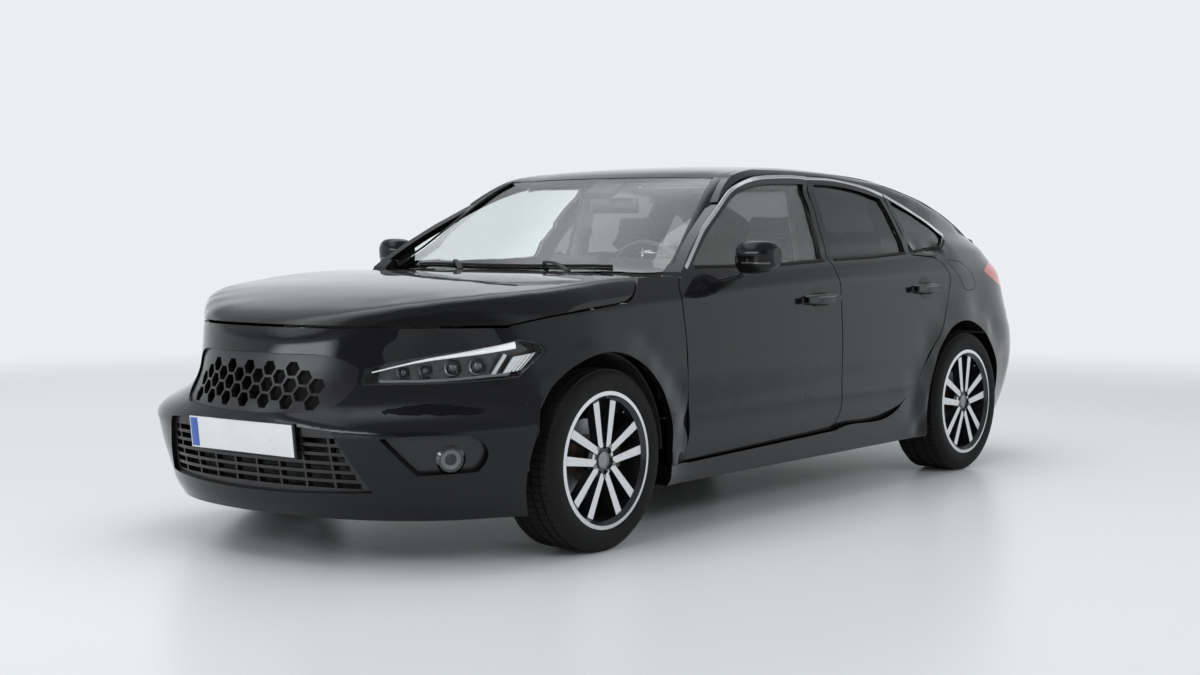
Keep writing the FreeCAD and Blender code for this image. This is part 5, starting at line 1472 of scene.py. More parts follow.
    def lenses(self) -> None:
        """Turns the projector lenses and their bezels along the lamp, and lays the ledge below them."""
        bezels, glass, ledge = Shape(), Shape(), Shape()
        bezel = ((0.8, -0.018), (0.86, -0.004), (1.0, 0.002), (1.12, 0.0035), (1.16, 0.0), (1.16, -0.02),
                 (0.8, -0.018))
        lens = ((0.0, 0.006), (0.4, 0.0045), (0.68, 0.0005), (0.82, -0.005), (0.82, -0.012), (0.0, -0.012))
        for x, z, radius, depth in self.projectors:
            point, normal = self.inside(x, z, depth)
            heading = (normal + Vector((0.9, 0, 0))).normalized()
            bezels.lathe([(radius * share, out) for share, out in bezel], point, heading, 40)
            glass.lathe([(radius * share, out) for share, out in lens], point, heading, 32)
            for index in range(6):
                turn = Matrix.Rotation(math.tau * index / 6, 3, heading)
                spot = point + turn @ heading.orthogonal().normalized() * radius * 0.5 + heading * 0.004
                glass.rod(spot - heading * 0.004, spot + heading * 0.0025, 0.0032, 0.0012, sides=6)
        self.end(bezels, "lamp_bezels", DARK_CHROME)
        self.end(glass, "lamp_lenses", PROJECTOR_GLASS)
        path = [self.inside(x, z, 0.022) for x, z in smooth_line(self.ledge, 24)]
        section = [(-0.005, -0.03), (-0.005, 0.012), (-0.002, 0.015), (0.004, 0.012), (0.004, -0.03)]
        ledge.sweep(*parted(path), section)
        self.end(ledge, "lamp_ledge", LAMP_GREY)

    def reflector(self) -> None:
        """Sets the faceted reflector block in the lamp's outer end."""
        shape = Shape()
        upper, outer_upper, outer_lower, lower = self.corners

        def place(u: float, v: float) -> Vector:
            """Returns a point of the block's face.

            Args:
                u: The share outwards.
                v: The share upwards.

            Returns:
                The point, deeper in every other facet.
            """
            low = [lower[a] + (outer_lower[a] - lower[a]) * u for a in (0, 1)]
            high = [upper[a] + (outer_upper[a] - upper[a]) * u for a in (0, 1)]
            depth = 0.012 + 0.003 * (round(u * 10) % 2)
            return self.inside(low[0] + (high[0] - low[0]) * v, low[1] + (high[1] - low[1]) * v, depth)[0]

        shape.sheet(10, 6, place, 0.004)
        self.end(shape, "end_reflector", SILVERED, 0.1)


@dataclass
class NumberPlate:
    """Blank number plate on its holder."""

    name: str
    body: str
    centre: Triple
    lean: float
    facing: int
    width: float = 0.52
    height: float = 0.11

    def build(self) -> None:
        """Makes the plate, its blue strip, its holder and two screws."""
        turn = Matrix.Translation(self.centre) @ Matrix.Rotation(self.lean * self.facing, 4, "Y")
        if self.facing < 0:
            turn = turn @ Matrix.Rotation(math.pi, 4, "Z")
        half, tall = self.width / 2, self.height / 2
        holder, plate, strip, screws = Shape(), Shape(), Shape(), Shape()
        wide, long = tall + 0.006, half + 0.006
        holder.block((-0.012, -long, -wide), (-0.0015, long, wide), 0.004, turn)
        plate.block((-0.0015, -half, -tall), (0.0005, half, tall), 0.0009, turn)
        side, low, high = half - 0.003, 0.003 - tall, tall - 0.003
        plate.block((0.0, -side, low), (0.0011, side, low + 0.002), 0.0004, turn)
        plate.block((0.0, -side, high - 0.002), (0.0011, side, high), 0.0004, turn)
        strip.block((0.0, -half + 0.004, -tall + 0.004), (0.0009, -half + 0.042, tall - 0.004), 0.0003, turn)
        for across in (-0.15, 0.15):
            foot, head = turn @ Vector((0.0, across, 0.0)), turn @ Vector((0.0024, across, 0.0))
            screws.rod(foot, head, 0.0052, 0.0044, 18, 0.0005)
        holder.piece(f"{self.name}_holder", TRIM_BLACK, self.body)
        plate.piece(f"{self.name}_plate", PLATE_WHITE, self.body)
        strip.piece(f"{self.name}_plate_strip", PLATE_BLUE, self.body)
        screws.piece(f"{self.name}_plate_screws", PLATE_WHITE, self.body)


@dataclass
class FogLamp:
    """Small round lamp in a corner pocket of the bumper."""

    side: Side
    centre: Triple = (1.98, 0.706, 0.374)
    heading: Triple = (0.8, 0.6, 0.0)
    radius: float = 0.034

    def build(self) -> None:
        """Makes the bezel, reflector and lens."""
        heading = Vector(self.heading).normalized()
        found = Skin("lower_grille", "front_bumper").hit(Vector(self.centre) + heading * 0.4, -heading)
        point, facing = found or (Vector(self.centre), heading)
        point, facing = point * self.side.flip, facing * self.side.flip
        bezel = ((1.0, -0.004), (1.02, 0.008), (1.2, 0.009), (1.45, 0.001), (1.45, -0.004), (1.0, -0.004))
        bowl = ((0.0, -0.003), (0.5, -0.0015), (0.9, 0.004), (1.0, 0.004), (1.0, -0.0045), (0.0, -0.0045))
        lens = ((0.0, 0.0085), (0.6, 0.0078), (0.97, 0.006), (0.97, 0.0045), (0.0, 0.0055))
        for name, profile, steps, finish, slot in (("bezel", bezel, 48, PIANO_BLACK, "black_plastic"),
                                                   ("bowl", bowl, 40, LAMP_GREY, None),
                                                   ("lens", lens, 40, COVER_GLASS, "lamp_glass")):
            shape = Shape()
            shape.lathe([(self.radius * share, out) for share, out in profile], point, facing, steps)
            shape.piece(f"fog_{name}_{self.side.word}", finish, "shell", slot)


@dataclass
class DoorMirror:
    """Glass, frame and indicator of a door mirror."""

    side: Side
    centre: Pair = (0.9625, 1.026)
    half: Pair = (0.066, 0.049)
    face: float = 0.4865

    def build(self) -> None:
        """Makes the mirror's glass, its frame and the indicator."""
        word, body = self.side.word, f"door_front_{self.side.word}"
        glass, rim, strip = Shape(), Shape(), Shape()
        self.plate(rim, 0.004, self.face + 0.006, 0.005)
        self.plate(glass, 0.0, self.face + 0.001, 0.0025)
        rim.piece(f"mirror_rim_{word}", TRIM_BLACK, body)
        glass.piece(f"mirror_glass_{word}", MIRROR_SILVER, body)
        skin = Skin("mirror_left")
        hits = [skin.ahead(y, 1.0) for y in spread(0.93, 0.103, 22)]
        strip.sweep(*parted(hits, self.side.flip), strip_section(0.007, 0.0018))
        strip.piece(f"mirror_indicator_{word}", SMOKED_LENS, body)

    def plate(self, shape: Shape, grow: float, x: float, wall: float) -> None:
        """Adds a plate with soft corners that faces backwards.

        Args:
            shape: The shape that it goes into.
            grow: How much larger than the glass it is.
            x: Where its face is.
            wall: Its thickness.
        """
        made = bmesh.ops.create_circle(shape.mesh, cap_ends=True, segments=56, radius=1.0)["verts"]
        for vert in made:
            turn = math.atan2(vert.co.y, vert.co.x)
            power = [math.copysign(abs(part) ** 0.62, part) for part in (math.cos(turn), math.sin(turn))]
            y, z = (self.centre[axis] + (self.half[axis] + grow) * power[axis] for axis in (0, 1))
            vert.co = Vector((x, self.side.value * y, z))
        faces = list({face for vert in made for face in vert.link_faces})
        pushed = bmesh.ops.extrude_face_region(shape.mesh, geom=faces)["geom"]
        moved = [item for item in pushed if isinstance(item, bmesh.types.BMVert)]
        bmesh.ops.translate(shape.mesh, verts=moved, vec=(-wall, 0, 0))
        shape.ease(shape.mesh.verts[:], 0.0012, 2, 0.9)


@dataclass
class Wiper:
    """One windscreen wiper: arm and blade."""

    name: str
    pivot: Pair
    blade: Pair
    rise: float = 0.022
    base: float = 0.955
    rubber: tuple[Pair, ...] = ((-0.0008, 0.0), (-0.0016, 0.004), (-0.0052, 0.0055), (-0.0042, 0.009),
                                (0.0015, 0.0105), (0.0052, 0.006), (0.0016, 0.004), (0.0008, 0.0))
    section: tuple[Pair, ...] = ((-0.009, -0.004), (-0.009, 0.003), (-0.005, 0.006), (0.005, 0.006),
                                 (0.009, 0.003), (0.009, -0.004))

    @staticmethod
    def foot(y: float) -> float:
        """Returns the x of the windscreen's foot at a place across the car."""
        return 0.893 - 0.125 * (y / 0.722) ** 2

    def build(self) -> None:
        """Makes the wiper on the windscreen's surface."""
        skin = Skin("windscreen")
        arm, blade = Shape(), Shape()
        places = spread(self.blade[0], self.blade[1] - self.blade[0], 40)
        path, outward = parted([skin.above(self.foot(y) - self.rise, y) for y in places])
        blade.sweep(path, outward, self.rubber)
        blade.piece(f"wiper_blade_{self.name}", SEAL_BLACK, "shell")
        middle, lift = path[len(path) // 2], outward[len(path) // 2]
        pivot = Vector((*self.pivot, self.base))
        start, end = pivot + Vector((0, 0, 0.014)), middle + lift * 0.02
        line = [start.lerp(end, s) + Vector((0, 0, 0.012)) * math.sin(math.pi * s) for s in spread(0, 1, 21)]
        arm.sweep(line, [Vector((0, 0, 1))] * 21, self.section, [1.25 - 0.7 * i / 20 for i in range(21)])
        arm.rod(pivot - Vector((0, 0, 0.02)), pivot + Vector((0, 0, 0.02)), 0.014, 0.0125, 28, 0.003)
        arm.rod(middle + lift * 0.008, middle + lift * 0.024, 0.009, 0.007, 16, 0.002)
        arm.piece(f"wiper_arm_{self.name}", TRIM_BLACK, "shell")


@dataclass(frozen=True)
class PadForm:
    """Shape of one stuffed pad before it swells, in its own along, across and out."""

    length: float
    width: float
    depth: float
    taper: float
    bolster: float
    roll: float
    borders: tuple[float, ...]
    channels: tuple[float, ...]
    voxel: float = 0.008
    cap: float = 0.024
    seam: Pair = (0.007, 0.0065)
    dip: Pair = (0.026, 0.006)

    def point(self, along: float, across: float, out: float) -> Vector:
        """Returns a point of the pad.

        Args:
            along: The share of the length, from 0 to 1.
            across: The share of the half width, from -1 to 1.
            out: The share of the depth, from 0 to 1.

        Returns:
            The point, with the bolsters raised and the far end rolled back.
        """
        half = self.width / 2 * (1 - self.taper * along ** 2)
        edge = max(0.0, (abs(across) - 0.52) / 0.48)
        raised = self.bolster * out * edge * (1.6 - 0.6 * edge) * (1 - 0.7 * max(0.0, along - 0.75) / 0.25)
        fallen = self.roll * out * max(0.0, along - 0.72) ** 2 / 0.0784
        belly = 0.18 * self.depth * out * math.sin(math.pi * min(1.0, along * 1.25)) * (1 - across ** 2)
        return Vector((self.length * along, half * across, self.depth * out + raised + belly - fallen))


@dataclass
class Pad:
    """One stuffed pad: swollen by a cloth simulation, then sewn along its seams."""

    name: str
    form: PadForm
    place: Matrix
    body: str = "shell"
    fill: float = 0.7
    pressure: float = 4.0
    frames: int = 20

    def build(self, mirrored: str | None = None) -> list[bpy.types.Object]:
        """Makes the pad with its piping and stitches.

        Args:
            mirrored: The name of a twin on the other side of the car, if there is one.

        Returns:
            The pads, without their piping.
        """
        base = self.start()
        data = self.swollen(base)
        self.sew(data)
        made = []
        for name, flip in ((self.name, 1), (mirrored, -1)):
            if name:
                made.append(self.pad(name, data, flip))
                self.seams(name, data, flip)
        return made

    def start(self) -> bpy.types.Mesh:
        """Returns the pad's starting mesh, remeshed in even voxels."""
        mesh = bmesh.new()
        bmesh.ops.create_cube(mesh, size=1.0)
        bmesh.ops.subdivide_edges(mesh, edges=mesh.edges[:], cuts=11, use_grid_fill=True)
        for vert in mesh.verts:
            vert.co = self.form.point(vert.co.x + 0.5, vert.co.y * 2, vert.co.z + 0.5)
        data = bpy.data.meshes.new(self.name + "_start")
        mesh.to_mesh(data)
        mesh.free()
        return self.modified(data, "REMESH", mode="VOXEL", voxel_size=self.form.voxel)

    def modified(self, data: bpy.types.Mesh, kind: str, **settings: Any) -> bpy.types.Mesh:
        """Applies one modifier to a mesh.

        Args:
            data: The mesh.
            kind: The modifier's type.
            settings: The modifier's settings.

        Returns:
            The mesh as the modifier leaves it.
        """
        helper = bpy.data.objects.new(self.name + "_helper", data)
        bpy.context.scene.collection.objects.link(helper)
        modifier = helper.modifiers.new(kind, kind)
        for key, setting in settings.items():
            setattr(modifier, key, setting)
        made = bpy.data.meshes.new_from_object(helper.evaluated_get(bpy.context.evaluated_depsgraph_get()))
        bpy.data.objects.remove(helper)
        return made

    def swollen(self, data: bpy.types.Mesh) -> bpy.types.Mesh:
        """Blows a mesh up by pressure, with its resting face held.

        Args:
            data: The starting mesh.

        Returns:
            The swollen mesh, subdivided once.
        """
        helper = bpy.data.objects.new(self.name + "_cloth", data)
        bpy.context.scene.collection.objects.link(helper)
        held = helper.vertex_groups.new(name="held")
        resting = [vert.index for vert in data.vertices if vert.co.z < self.form.voxel * 0.6]
        held.add(resting, 1.0, "REPLACE")
        cloth = helper.modifiers.new("Cloth", "CLOTH")
        cloth.settings.use_pressure = True
        cloth.settings.uniform_pressure_force = self.pressure
        cloth.settings.quality = 4
        cloth.settings.mass = 0.3
        cloth.settings.vertex_group_mass = "held"
        cloth.settings.effector_weights.gravity = 0.0
        cloth.collision_settings.use_collision = False
        cloth.point_cache.frame_start, cloth.point_cache.frame_end = 1, self.frames
        scene = bpy.context.scene
        for step in range(1, self.frames + 1):
            scene.frame_set(step)
        blown = helper.evaluated_get(bpy.context.evaluated_depsgraph_get()).data
        starts = [vert.co.copy() for vert in data.vertices]
        ends = [vert.co.copy() for vert in blown.vertices]
        scene.frame_set(1)
        bpy.data.objects.remove(helper)
        for vert, first, last in zip(data.vertices, starts, ends):
            moved = last - first
            if moved.length > self.form.cap:
                moved *= self.form.cap / moved.length
            vert.co = first + moved
        LOG.info("%s swollen, %d points", self.name, len(starts))
        return self.modified(data, "SUBSURF", levels=1, render_levels=1)

    def sew(self, data: bpy.types.Mesh) -> None:
        """Draws the seams and channels into the swollen face.

        Args:
            data: The swollen mesh.
        """
        normals = [vert.normal.copy() for vert in data.vertices]
        for vert, normal in zip(data.vertices, normals):
            if normal.z > 0.1:
                gap = min(self.gaps(vert.co))
                wells = (self.form.seam, self.form.dip)
                groove, soft = (deep * math.exp(-(gap / wide) ** 2) for wide, deep in wells)
                vert.co -= normal * (groove + soft)
        data.update()

    def gaps(self, point: Vector) -> list[float]:
        """Returns how far a point is from each seam.

        Args:
            point: The point in the pad's own frame.

        Returns:
            The distances, or 1 where the pad has no seam.
        """
        half = self.form.width / 2 * (1 - self.form.taper * (point.x / self.form.length) ** 2)
        found = [abs(abs(point.y) - border * half) for border in self.form.borders]
        inner = min(self.form.borders, default=1.0)
        if abs(point.y) < inner * half or inner > 0.9:
            found += [abs(point.x - channel * self.form.length) for channel in self.form.channels]
        return found or [1.0]

    def pad(self, name: str, data: bpy.types.Mesh, flip: int) -> bpy.types.Object:
        """Ends one pad.

        Args:
            name: The pad's name.
            data: The sewn mesh in the pad's own frame.
            flip: 1 as it is, or -1 for its twin.

        Returns:
            The pad.
        """
        shape = Shape()
        shape.mesh.from_mesh(data)
        half = self.form.width / 2
        inner = min(self.form.borders, default=0.9) * half * 0.98
        for face in shape.mesh.faces:
            middle = face.calc_center_median()
            face.material_index = int(abs(middle.y) > inner or middle.z < self.form.depth * 0.4)
        bmesh.ops.transform(shape.mesh, matrix=self.turned(flip), verts=shape.mesh.verts)
        made = shape.piece(name, SEAT_CLOTH, self.body, "seat_cloth", sharp=1.2)
        made.data.materials.append(SEAT_SIDE.material())
        return made

    def turned(self, flip: int) -> Matrix:
        """Returns the pad's place on its side of the car."""
        return Matrix.Diagonal((1, flip, 1, 1)) @ self.place

    def seams(self, name: str, data: bpy.types.Mesh, flip: int) -> None:
        """Lays piping in the long seams and stitches beside every seam.

        Args:
            name: The pad's name.
            data: The sewn mesh in the pad's own frame.
            flip: 1 as it is, or -1 for its twin.
        """
        points = [vert.co.copy() for vert in data.vertices]
        tree = BVHTree.FromPolygons(points, [list(face.vertices) for face in data.polygons])
        cords, stitches = Shape(), Shape()
        place = self.turned(flip)
        turns = [math.tau * i / 8 for i in range(8)]
        ring = [(0.0019 * math.cos(turn), 0.0008 + 0.0019 * math.sin(turn)) for turn in turns]
        for line in self.lines():
            for offset in (-0.0065, 0.0065):
                row = [(x + offset * dx, y + offset * dy) for x, y, dx, dy in line]
                self.stitch(stitches, tree, row, place)
            laid = [tree.ray_cast(Vector((x, y, 1.0)), Vector((0, 0, -1)))[:2] for x, y, _, _ in line]
            laid = [(place @ point, place.to_3x3() @ normal) for point, normal in laid
                    if point is not None and normal.z > 0.15]
            if len(laid) > 4:
                cords.sweep(*parted(laid), ring)
        cords.piece(name + "_piping", SEAT_PIPING, self.body, "seat_cloth")
        stitches.piece(name + "_stitches", SEAT_THREAD, self.body, "seat_cloth", turned=False)

    def lines(self) -> list[list[tuple[float, float, float, float]]]:
        """Returns the seams as points with the direction across each."""
        form, found = self.form, []
        for border in form.borders:
            for side in (-border, border):
                found.append([(form.length * s, side * form.width / 2 * (1 - form.taper * s ** 2), 0.0, 1.0)
                              for s in spread(0.06, 0.86, 61)])
        reach = min(form.borders, default=0.86) * 0.97
        for channel in form.channels:
            half = form.width / 2 * (1 - form.taper * channel ** 2) * reach
            found.append([(form.length * channel, half * (i / 20 - 1), 1.0, 0.0) for i in range(41)])
        return found

    @staticmethod
    def stitch(stitches: Shape, tree: BVHTree, line: Sequence[Pair], place: Matrix) -> None:
        """Sews one row of short stitches.

        Args:
            stitches: The shape that they go into.
            tree: The pad's surface.
            line: The row's points along and across.
            place: The pad's place.
        """
        pitch, share = 0.0075, 0.62
        for (x, y), (end_x, end_y) in zip(line, line[1:]):
            span = math.dist((x, y), (end_x, end_y))
            for index in range(max(1, round(span / pitch))):
                start = index * pitch / span
                ends = []
                for part in (start, start + pitch * share / span):
                    spot = Vector((x + (end_x - x) * part, y + (end_y - y) * part, 1.0))
                    point, normal, _, _ = tree.ray_cast(spot, Vector((0, 0, -1)))
                    if point is not None and normal.z > 0.2:
                        ends.append(place @ (point + normal * 0.0002))
                if len(ends) == 2:
                    stitches.rod(ends[0], ends[1], 0.0006, sides=5)


@dataclass
class Seats:
    """Front seats and rear bench with their restraints, shields and rails."""

    x: float = 0.2235
    y: float = 0.368
    bench_x: float = -1.1305
    back_lean: float = 22.0
    rest_lean: float = 16.0

    @staticmethod
    def leaned(origin: Point, degrees: float) -> Matrix:
        """Returns a frame whose along leans back from upright, with out facing forwards.

        Args:
            origin: The frame's origin.
            degrees: How far it leans.

        Returns:
            The frame, with along, across and out in its columns.
        """
        lean = math.radians(degrees)
        along = Vector((-math.sin(lean), 0, math.cos(lean)))
        out = Vector((math.cos(lean), 0, math.sin(lean)))
        place = Matrix((along, out.cross(along), out)).transposed().to_4x4()
        place.translation = origin
        return place

    def build(self) -> None:
        """Makes every seat piece."""
        x, y = self.x, self.y
        cushion = PadForm(0.43, 0.45, 0.14, 0.04, 0.028, 0.05, (0.62,), (0.36, 0.7))
        place = Matrix.Translation((x - 0.405, y, 0.35)) @ Matrix.Rotation(math.radians(-2.5), 4, "Y")
        pads = Pad("seat_cushion_left", cushion, place).build("seat_cushion_right")
        back = PadForm(0.585, 0.45, 0.082, 0.1, 0.03, 0.02, (0.62,), (0.3, 0.52, 0.78))
        place = self.leaned((x - 0.4, y, 0.44), self.back_lean) @ Matrix.Translation((0.015, 0, -0.1))
        pads += Pad("seat_back_left", back, place).build("seat_back_right")
        rest = PadForm(0.15, 0.225, 0.052, 0.12, 0.004, 0.006, (), (0.5,), 0.007, 0.014)
        lean = math.radians(self.back_lean)
        top = Vector((x - 0.4 - 0.644 * math.sin(lean), y, 0.44 + 0.644 * math.cos(lean)))
        place = self.leaned(top, self.rest_lean) @ Matrix.Translation((0.008, 0, -0.062))
        pads += Pad("head_rest_left", rest, place).build("head_rest_right")
        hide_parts("front_seats")
        self.posts(top)
        self.frames()
        self.bench()

    def posts(self, top: Vector) -> None:
        """Makes the bright posts of the head restraints, with their sleeves.

        Args:
            top: The middle of the left backrest's top.
        """
        posts, sleeves = Shape(), Shape()
        place = self.leaned(top, self.rest_lean)
        for across in (-0.055, 0.055):
            ends = [place @ Vector((along, across, -0.034)) for along in (-0.05, 0.03)]
            posts.rod(ends[0], ends[1], 0.0058, sides=20, rounding=0.001)
            sleeves.rod(ends[0], ends[0].lerp(ends[1], 0.28), 0.0115, 0.0095, 20, 0.0015)
        posts.mirror()
        sleeves.mirror()
        posts.piece("head_rest_posts", CHROME, "shell")
        sleeves.piece("head_rest_sleeves", TRIM_BLACK, "shell", "cabin_plastic")

    def frames(self) -> None:
        """Makes the side shields, the hinge covers, the back shells and the floor rails."""
        shields, rails, shells = Shape(), Shape(), Shape()
        x, y = self.x, self.y
        for across in (y + 0.224, y - 0.24):
            shields.block((x - 0.42, across, 0.3), (x + 0.01, across + 0.016, 0.385), 0.006)
            shields.rod((x - 0.375, across, 0.4), (x - 0.375, across + 0.016, 0.4), 0.052, 0.048, 40, 0.004)
        for across in (y - 0.17, y + 0.17):
            rails.block((x - 0.415, across - 0.016, 0.184), (x - 0.025, across + 0.016, 0.206), 0.004)
            rails.block((x - 0.4, across - 0.011, 0.204), (x - 0.04, across + 0.011, 0.232), 0.004)
            for foot in (x - 0.36, x - 0.09):
                rails.block((foot - 0.03, across - 0.008, 0.226), (foot + 0.03, across + 0.008, 0.34), 0.004)
        rails.rod((x - 0.06, y - 0.16, 0.26), (x - 0.06, y + 0.16, 0.26), 0.009, sides=20, rounding=0.002)
        place = self.leaned((x - 0.4, y, 0.44), self.back_lean)
        shells.block((0.03, -0.2, -0.109), (0.575, 0.2, -0.096), 0.006, place)
        shells.block((0.08, -0.16, -0.1095), (0.34, 0.16, -0.104), 0.0025, place)
        for shape in (shields, rails, shells):
            shape.mirror()
        shields.piece("seat_shields", CABIN_GREY, "shell", "cabin_plastic")
        rails.piece("seat_rails", CHASSIS_STEEL, "shell")
        shells.piece("seat_back_shells", CABIN_GREY, "shell", "cabin_plastic")

    def bench(self) -> None:
        """Makes the rear bench and its backrest."""
        x = self.bench_x
        cushion = PadForm(0.435, 1.07, 0.12, 0.02, 0.012, 0.045, (0.34, 0.86), (0.55,), 0.011)
        bench = Pad("bench_cushion", cushion, Matrix.Translation((x + 0.005, 0, 0.365))).build()
        back = PadForm(0.52, 1.07, 0.085, 0.03, 0.012, 0.015, (0.34, 0.86), (0.45,), 0.011)
        place = self.leaned((x + 0.0005, 0, 0.44), 26.0) @ Matrix.Translation((0.02, 0, -0.112))
        Pad("bench_back", back, place).build()
        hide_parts("rear_seat")


@dataclass
class DoorHandle:
    """Pull handle of one door over its cup, whose shade is painted on a near-black sheet."""

    name: str
    side: Side
    ends: Pair
    height: float
    stand: float = 0.034
    cup: Pair = (0.074, 0.052)
    section: tuple[Pair, ...] = ((-0.019, -0.006), (-0.0205, 0.0), (-0.016, 0.006), (0.0, 0.0085),
                                 (0.016, 0.006), (0.0205, 0.0), (0.019, -0.006), (0.0, -0.008))

    def build(self) -> None:
        """Makes the cup's painted shade, the bar and its bright line."""
        word, flip = self.side.word, self.side.flip
        body = f"door_{self.name}_{word}"
        skin = Skin(f"door_{self.name}_left")
        middle = sum(self.ends) / 2
        steps = spread(self.ends[0], self.ends[1] - self.ends[0], 33)
        base = [skin.beside(x, self.height + 0.045)[0] for x in steps]
        cup, bar, line = Shape(), Shape(), Shape()

        def dish(u: float, v: float) -> Vector:
            """Returns a point of the cup's lining, round in outline.

            Args:
                u: The share of a full turn.
                v: The share of the way out from the middle.

            Returns:
                The point.
            """
            x = middle + self.cup[0] * v * math.cos(math.tau * u)
            z = self.height + self.cup[1] * v * math.sin(math.tau * u)
            y = skin.beside(x, z)[0].y
            if abs(z - self.height) < 0.02:
                y = min(y, base[len(base) // 2].y - 0.0005 + 0.001)
            return Vector((x, y, z)) * flip + Vector((0, 0.0016 * self.side.value, 0)) * (1 - v ** 6)

        # The cup is a near-black sheet on the door's skin, painted shade standing in for the recess.
        cup.sheet(40, 10, dish)
        cup.piece(f"handle_cup_{self.name}_{word}", CUP_SHADE_BLACK, body, "black_plastic", sharp=1.2)
        path, widths = [], []
        outward = [Vector((0, 1, 0.12)).normalized() * flip] * len(steps)
        for index, (x, point) in enumerate(zip(steps, base)):
            off = abs(2 * (index / (len(base) - 1)) - 1)
            path.append(Vector((x, point.y + self.stand * (1 - off ** 3.2) + 0.002, self.height)) * flip)
            widths.append(0.72 + 0.28 * (1 - off ** 2))
        bar.sweep(path, outward, self.section, widths)
        bar.piece(f"handle_bar_{self.name}_{word}", GLOSS_BLACK, body, "body_paint")
        edge = [point + Vector((0, 0.0072 * self.side.value, 0.0095)) for point in path[3:-3]]
        line.sweep(edge, outward[3:-3], strip_section(0.003, 0.0012, 0.001))
        line.piece(f"handle_line_{self.name}_{word}", DARK_CHROME, body)


@dataclass
class ScreenTrim:
    """Trims round the windscreen: pillar strips, scuttle cover, camera housing and inner mirror."""

    foot: Pair = (0.7695, 0.722)
    top: Pair = (0.19, 0.548)

    def build(self) -> None:
        """Makes the trims."""
        glass = Skin("windscreen")
        self.pillars(glass)
        self.scuttle()
        self.housing(glass)

    def pillars(self, glass: Skin) -> None:
        """Lays the trims on both windscreen pillars.

        Args:
            glass: The windscreen.
        """
        pillars = Shape()
        path, outward = [], []
        for share in spread(0, 1, 41):
            x, y = (self.foot[axis] + (self.top[axis] - self.foot[axis]) * share for axis in (0, 1))
            found = glass.above(x - 0.004, y - 0.016)
            if found:
                path.append(found[0] + Vector((0.004, 0.026, -0.004)) + found[1] * 0.002)
                outward.append((found[1] + Vector((0, 0.35, 0))).normalized())
        pillars.sweep(path, outward, [(-0.026, -0.004), (-0.026, 0.002), (-0.022, 0.0045), (0.022, 0.0045),
                                      (0.026, 0.002), (0.026, -0.004)])
        pillars.mirror()
        pillars.piece("screen_pillar_trims", GLOSS_BLACK, "shell", "body_paint")

    def scuttle(self) -> None:
        """Lays the ribbed cover between the bonnet and the glass."""
        cover = Shape()

        def place(u: float, v: float) -> Vector:
            """Returns a point of the cover.

            Args:
                u: The share across the car.
                v: The share forwards.

            Returns:
                The point.
            """
            y = -0.735 + 1.47 * u
            fallen = 0.012 * v + 0.0105 * y ** 2 / 0.5
            return Vector((Wiper.foot(y) + 0.012 + 0.052 * v, y, 0.947 - fallen + 0.0015 * math.sin(u * 160)))

        cover.sheet(120, 6, place, 0.002)
        cover.piece("scuttle_cover", TRIM_BLACK, "shell", "black_plastic", sharp=1.0)

    def housing(self, glass: Skin) -> None:
        """Hangs the camera housing and the inner mirror on the windscreen.

        Args:
            glass: The windscreen.
        """
        housing, mirror, silver = Shape(), Shape(), Shape()
        point, outward = glass.above(0.255, 0.0)
        base = point - outward * 0.012
        tilt = tilted(base, 24)
        housing.block((-0.07, -0.075, -0.034), (0.075, 0.075, -0.002), 0.011, tilt)
        housing.block((-0.012, -0.018, -0.05), (0.03, 0.018, -0.03), 0.006, tilt)
        housing.piece("camera_housing", TRIM_BLACK, "shell", "cabin_plastic")
        place = tilted(base + Vector((-0.075, 0, -0.085)), 8)
        mirror.block((-0.012, -0.125, -0.033), (0.014, 0.125, 0.033), 0.012, place)
        stalk = [base + Vector(offset) for offset in ((-0.005, 0, -0.03), (-0.07, 0, -0.08))]
        mirror.rod(*stalk, 0.008, 0.011, 20, 0.002)
        silver.block((-0.0128, -0.115, -0.027), (-0.0118, 0.115, 0.027), 0.0004, place)
        mirror.piece("inner_mirror", PIANO_BLACK, "shell", "cabin_plastic")
        silver.piece("inner_mirror_glass", MIRROR_SILVER, "shell")


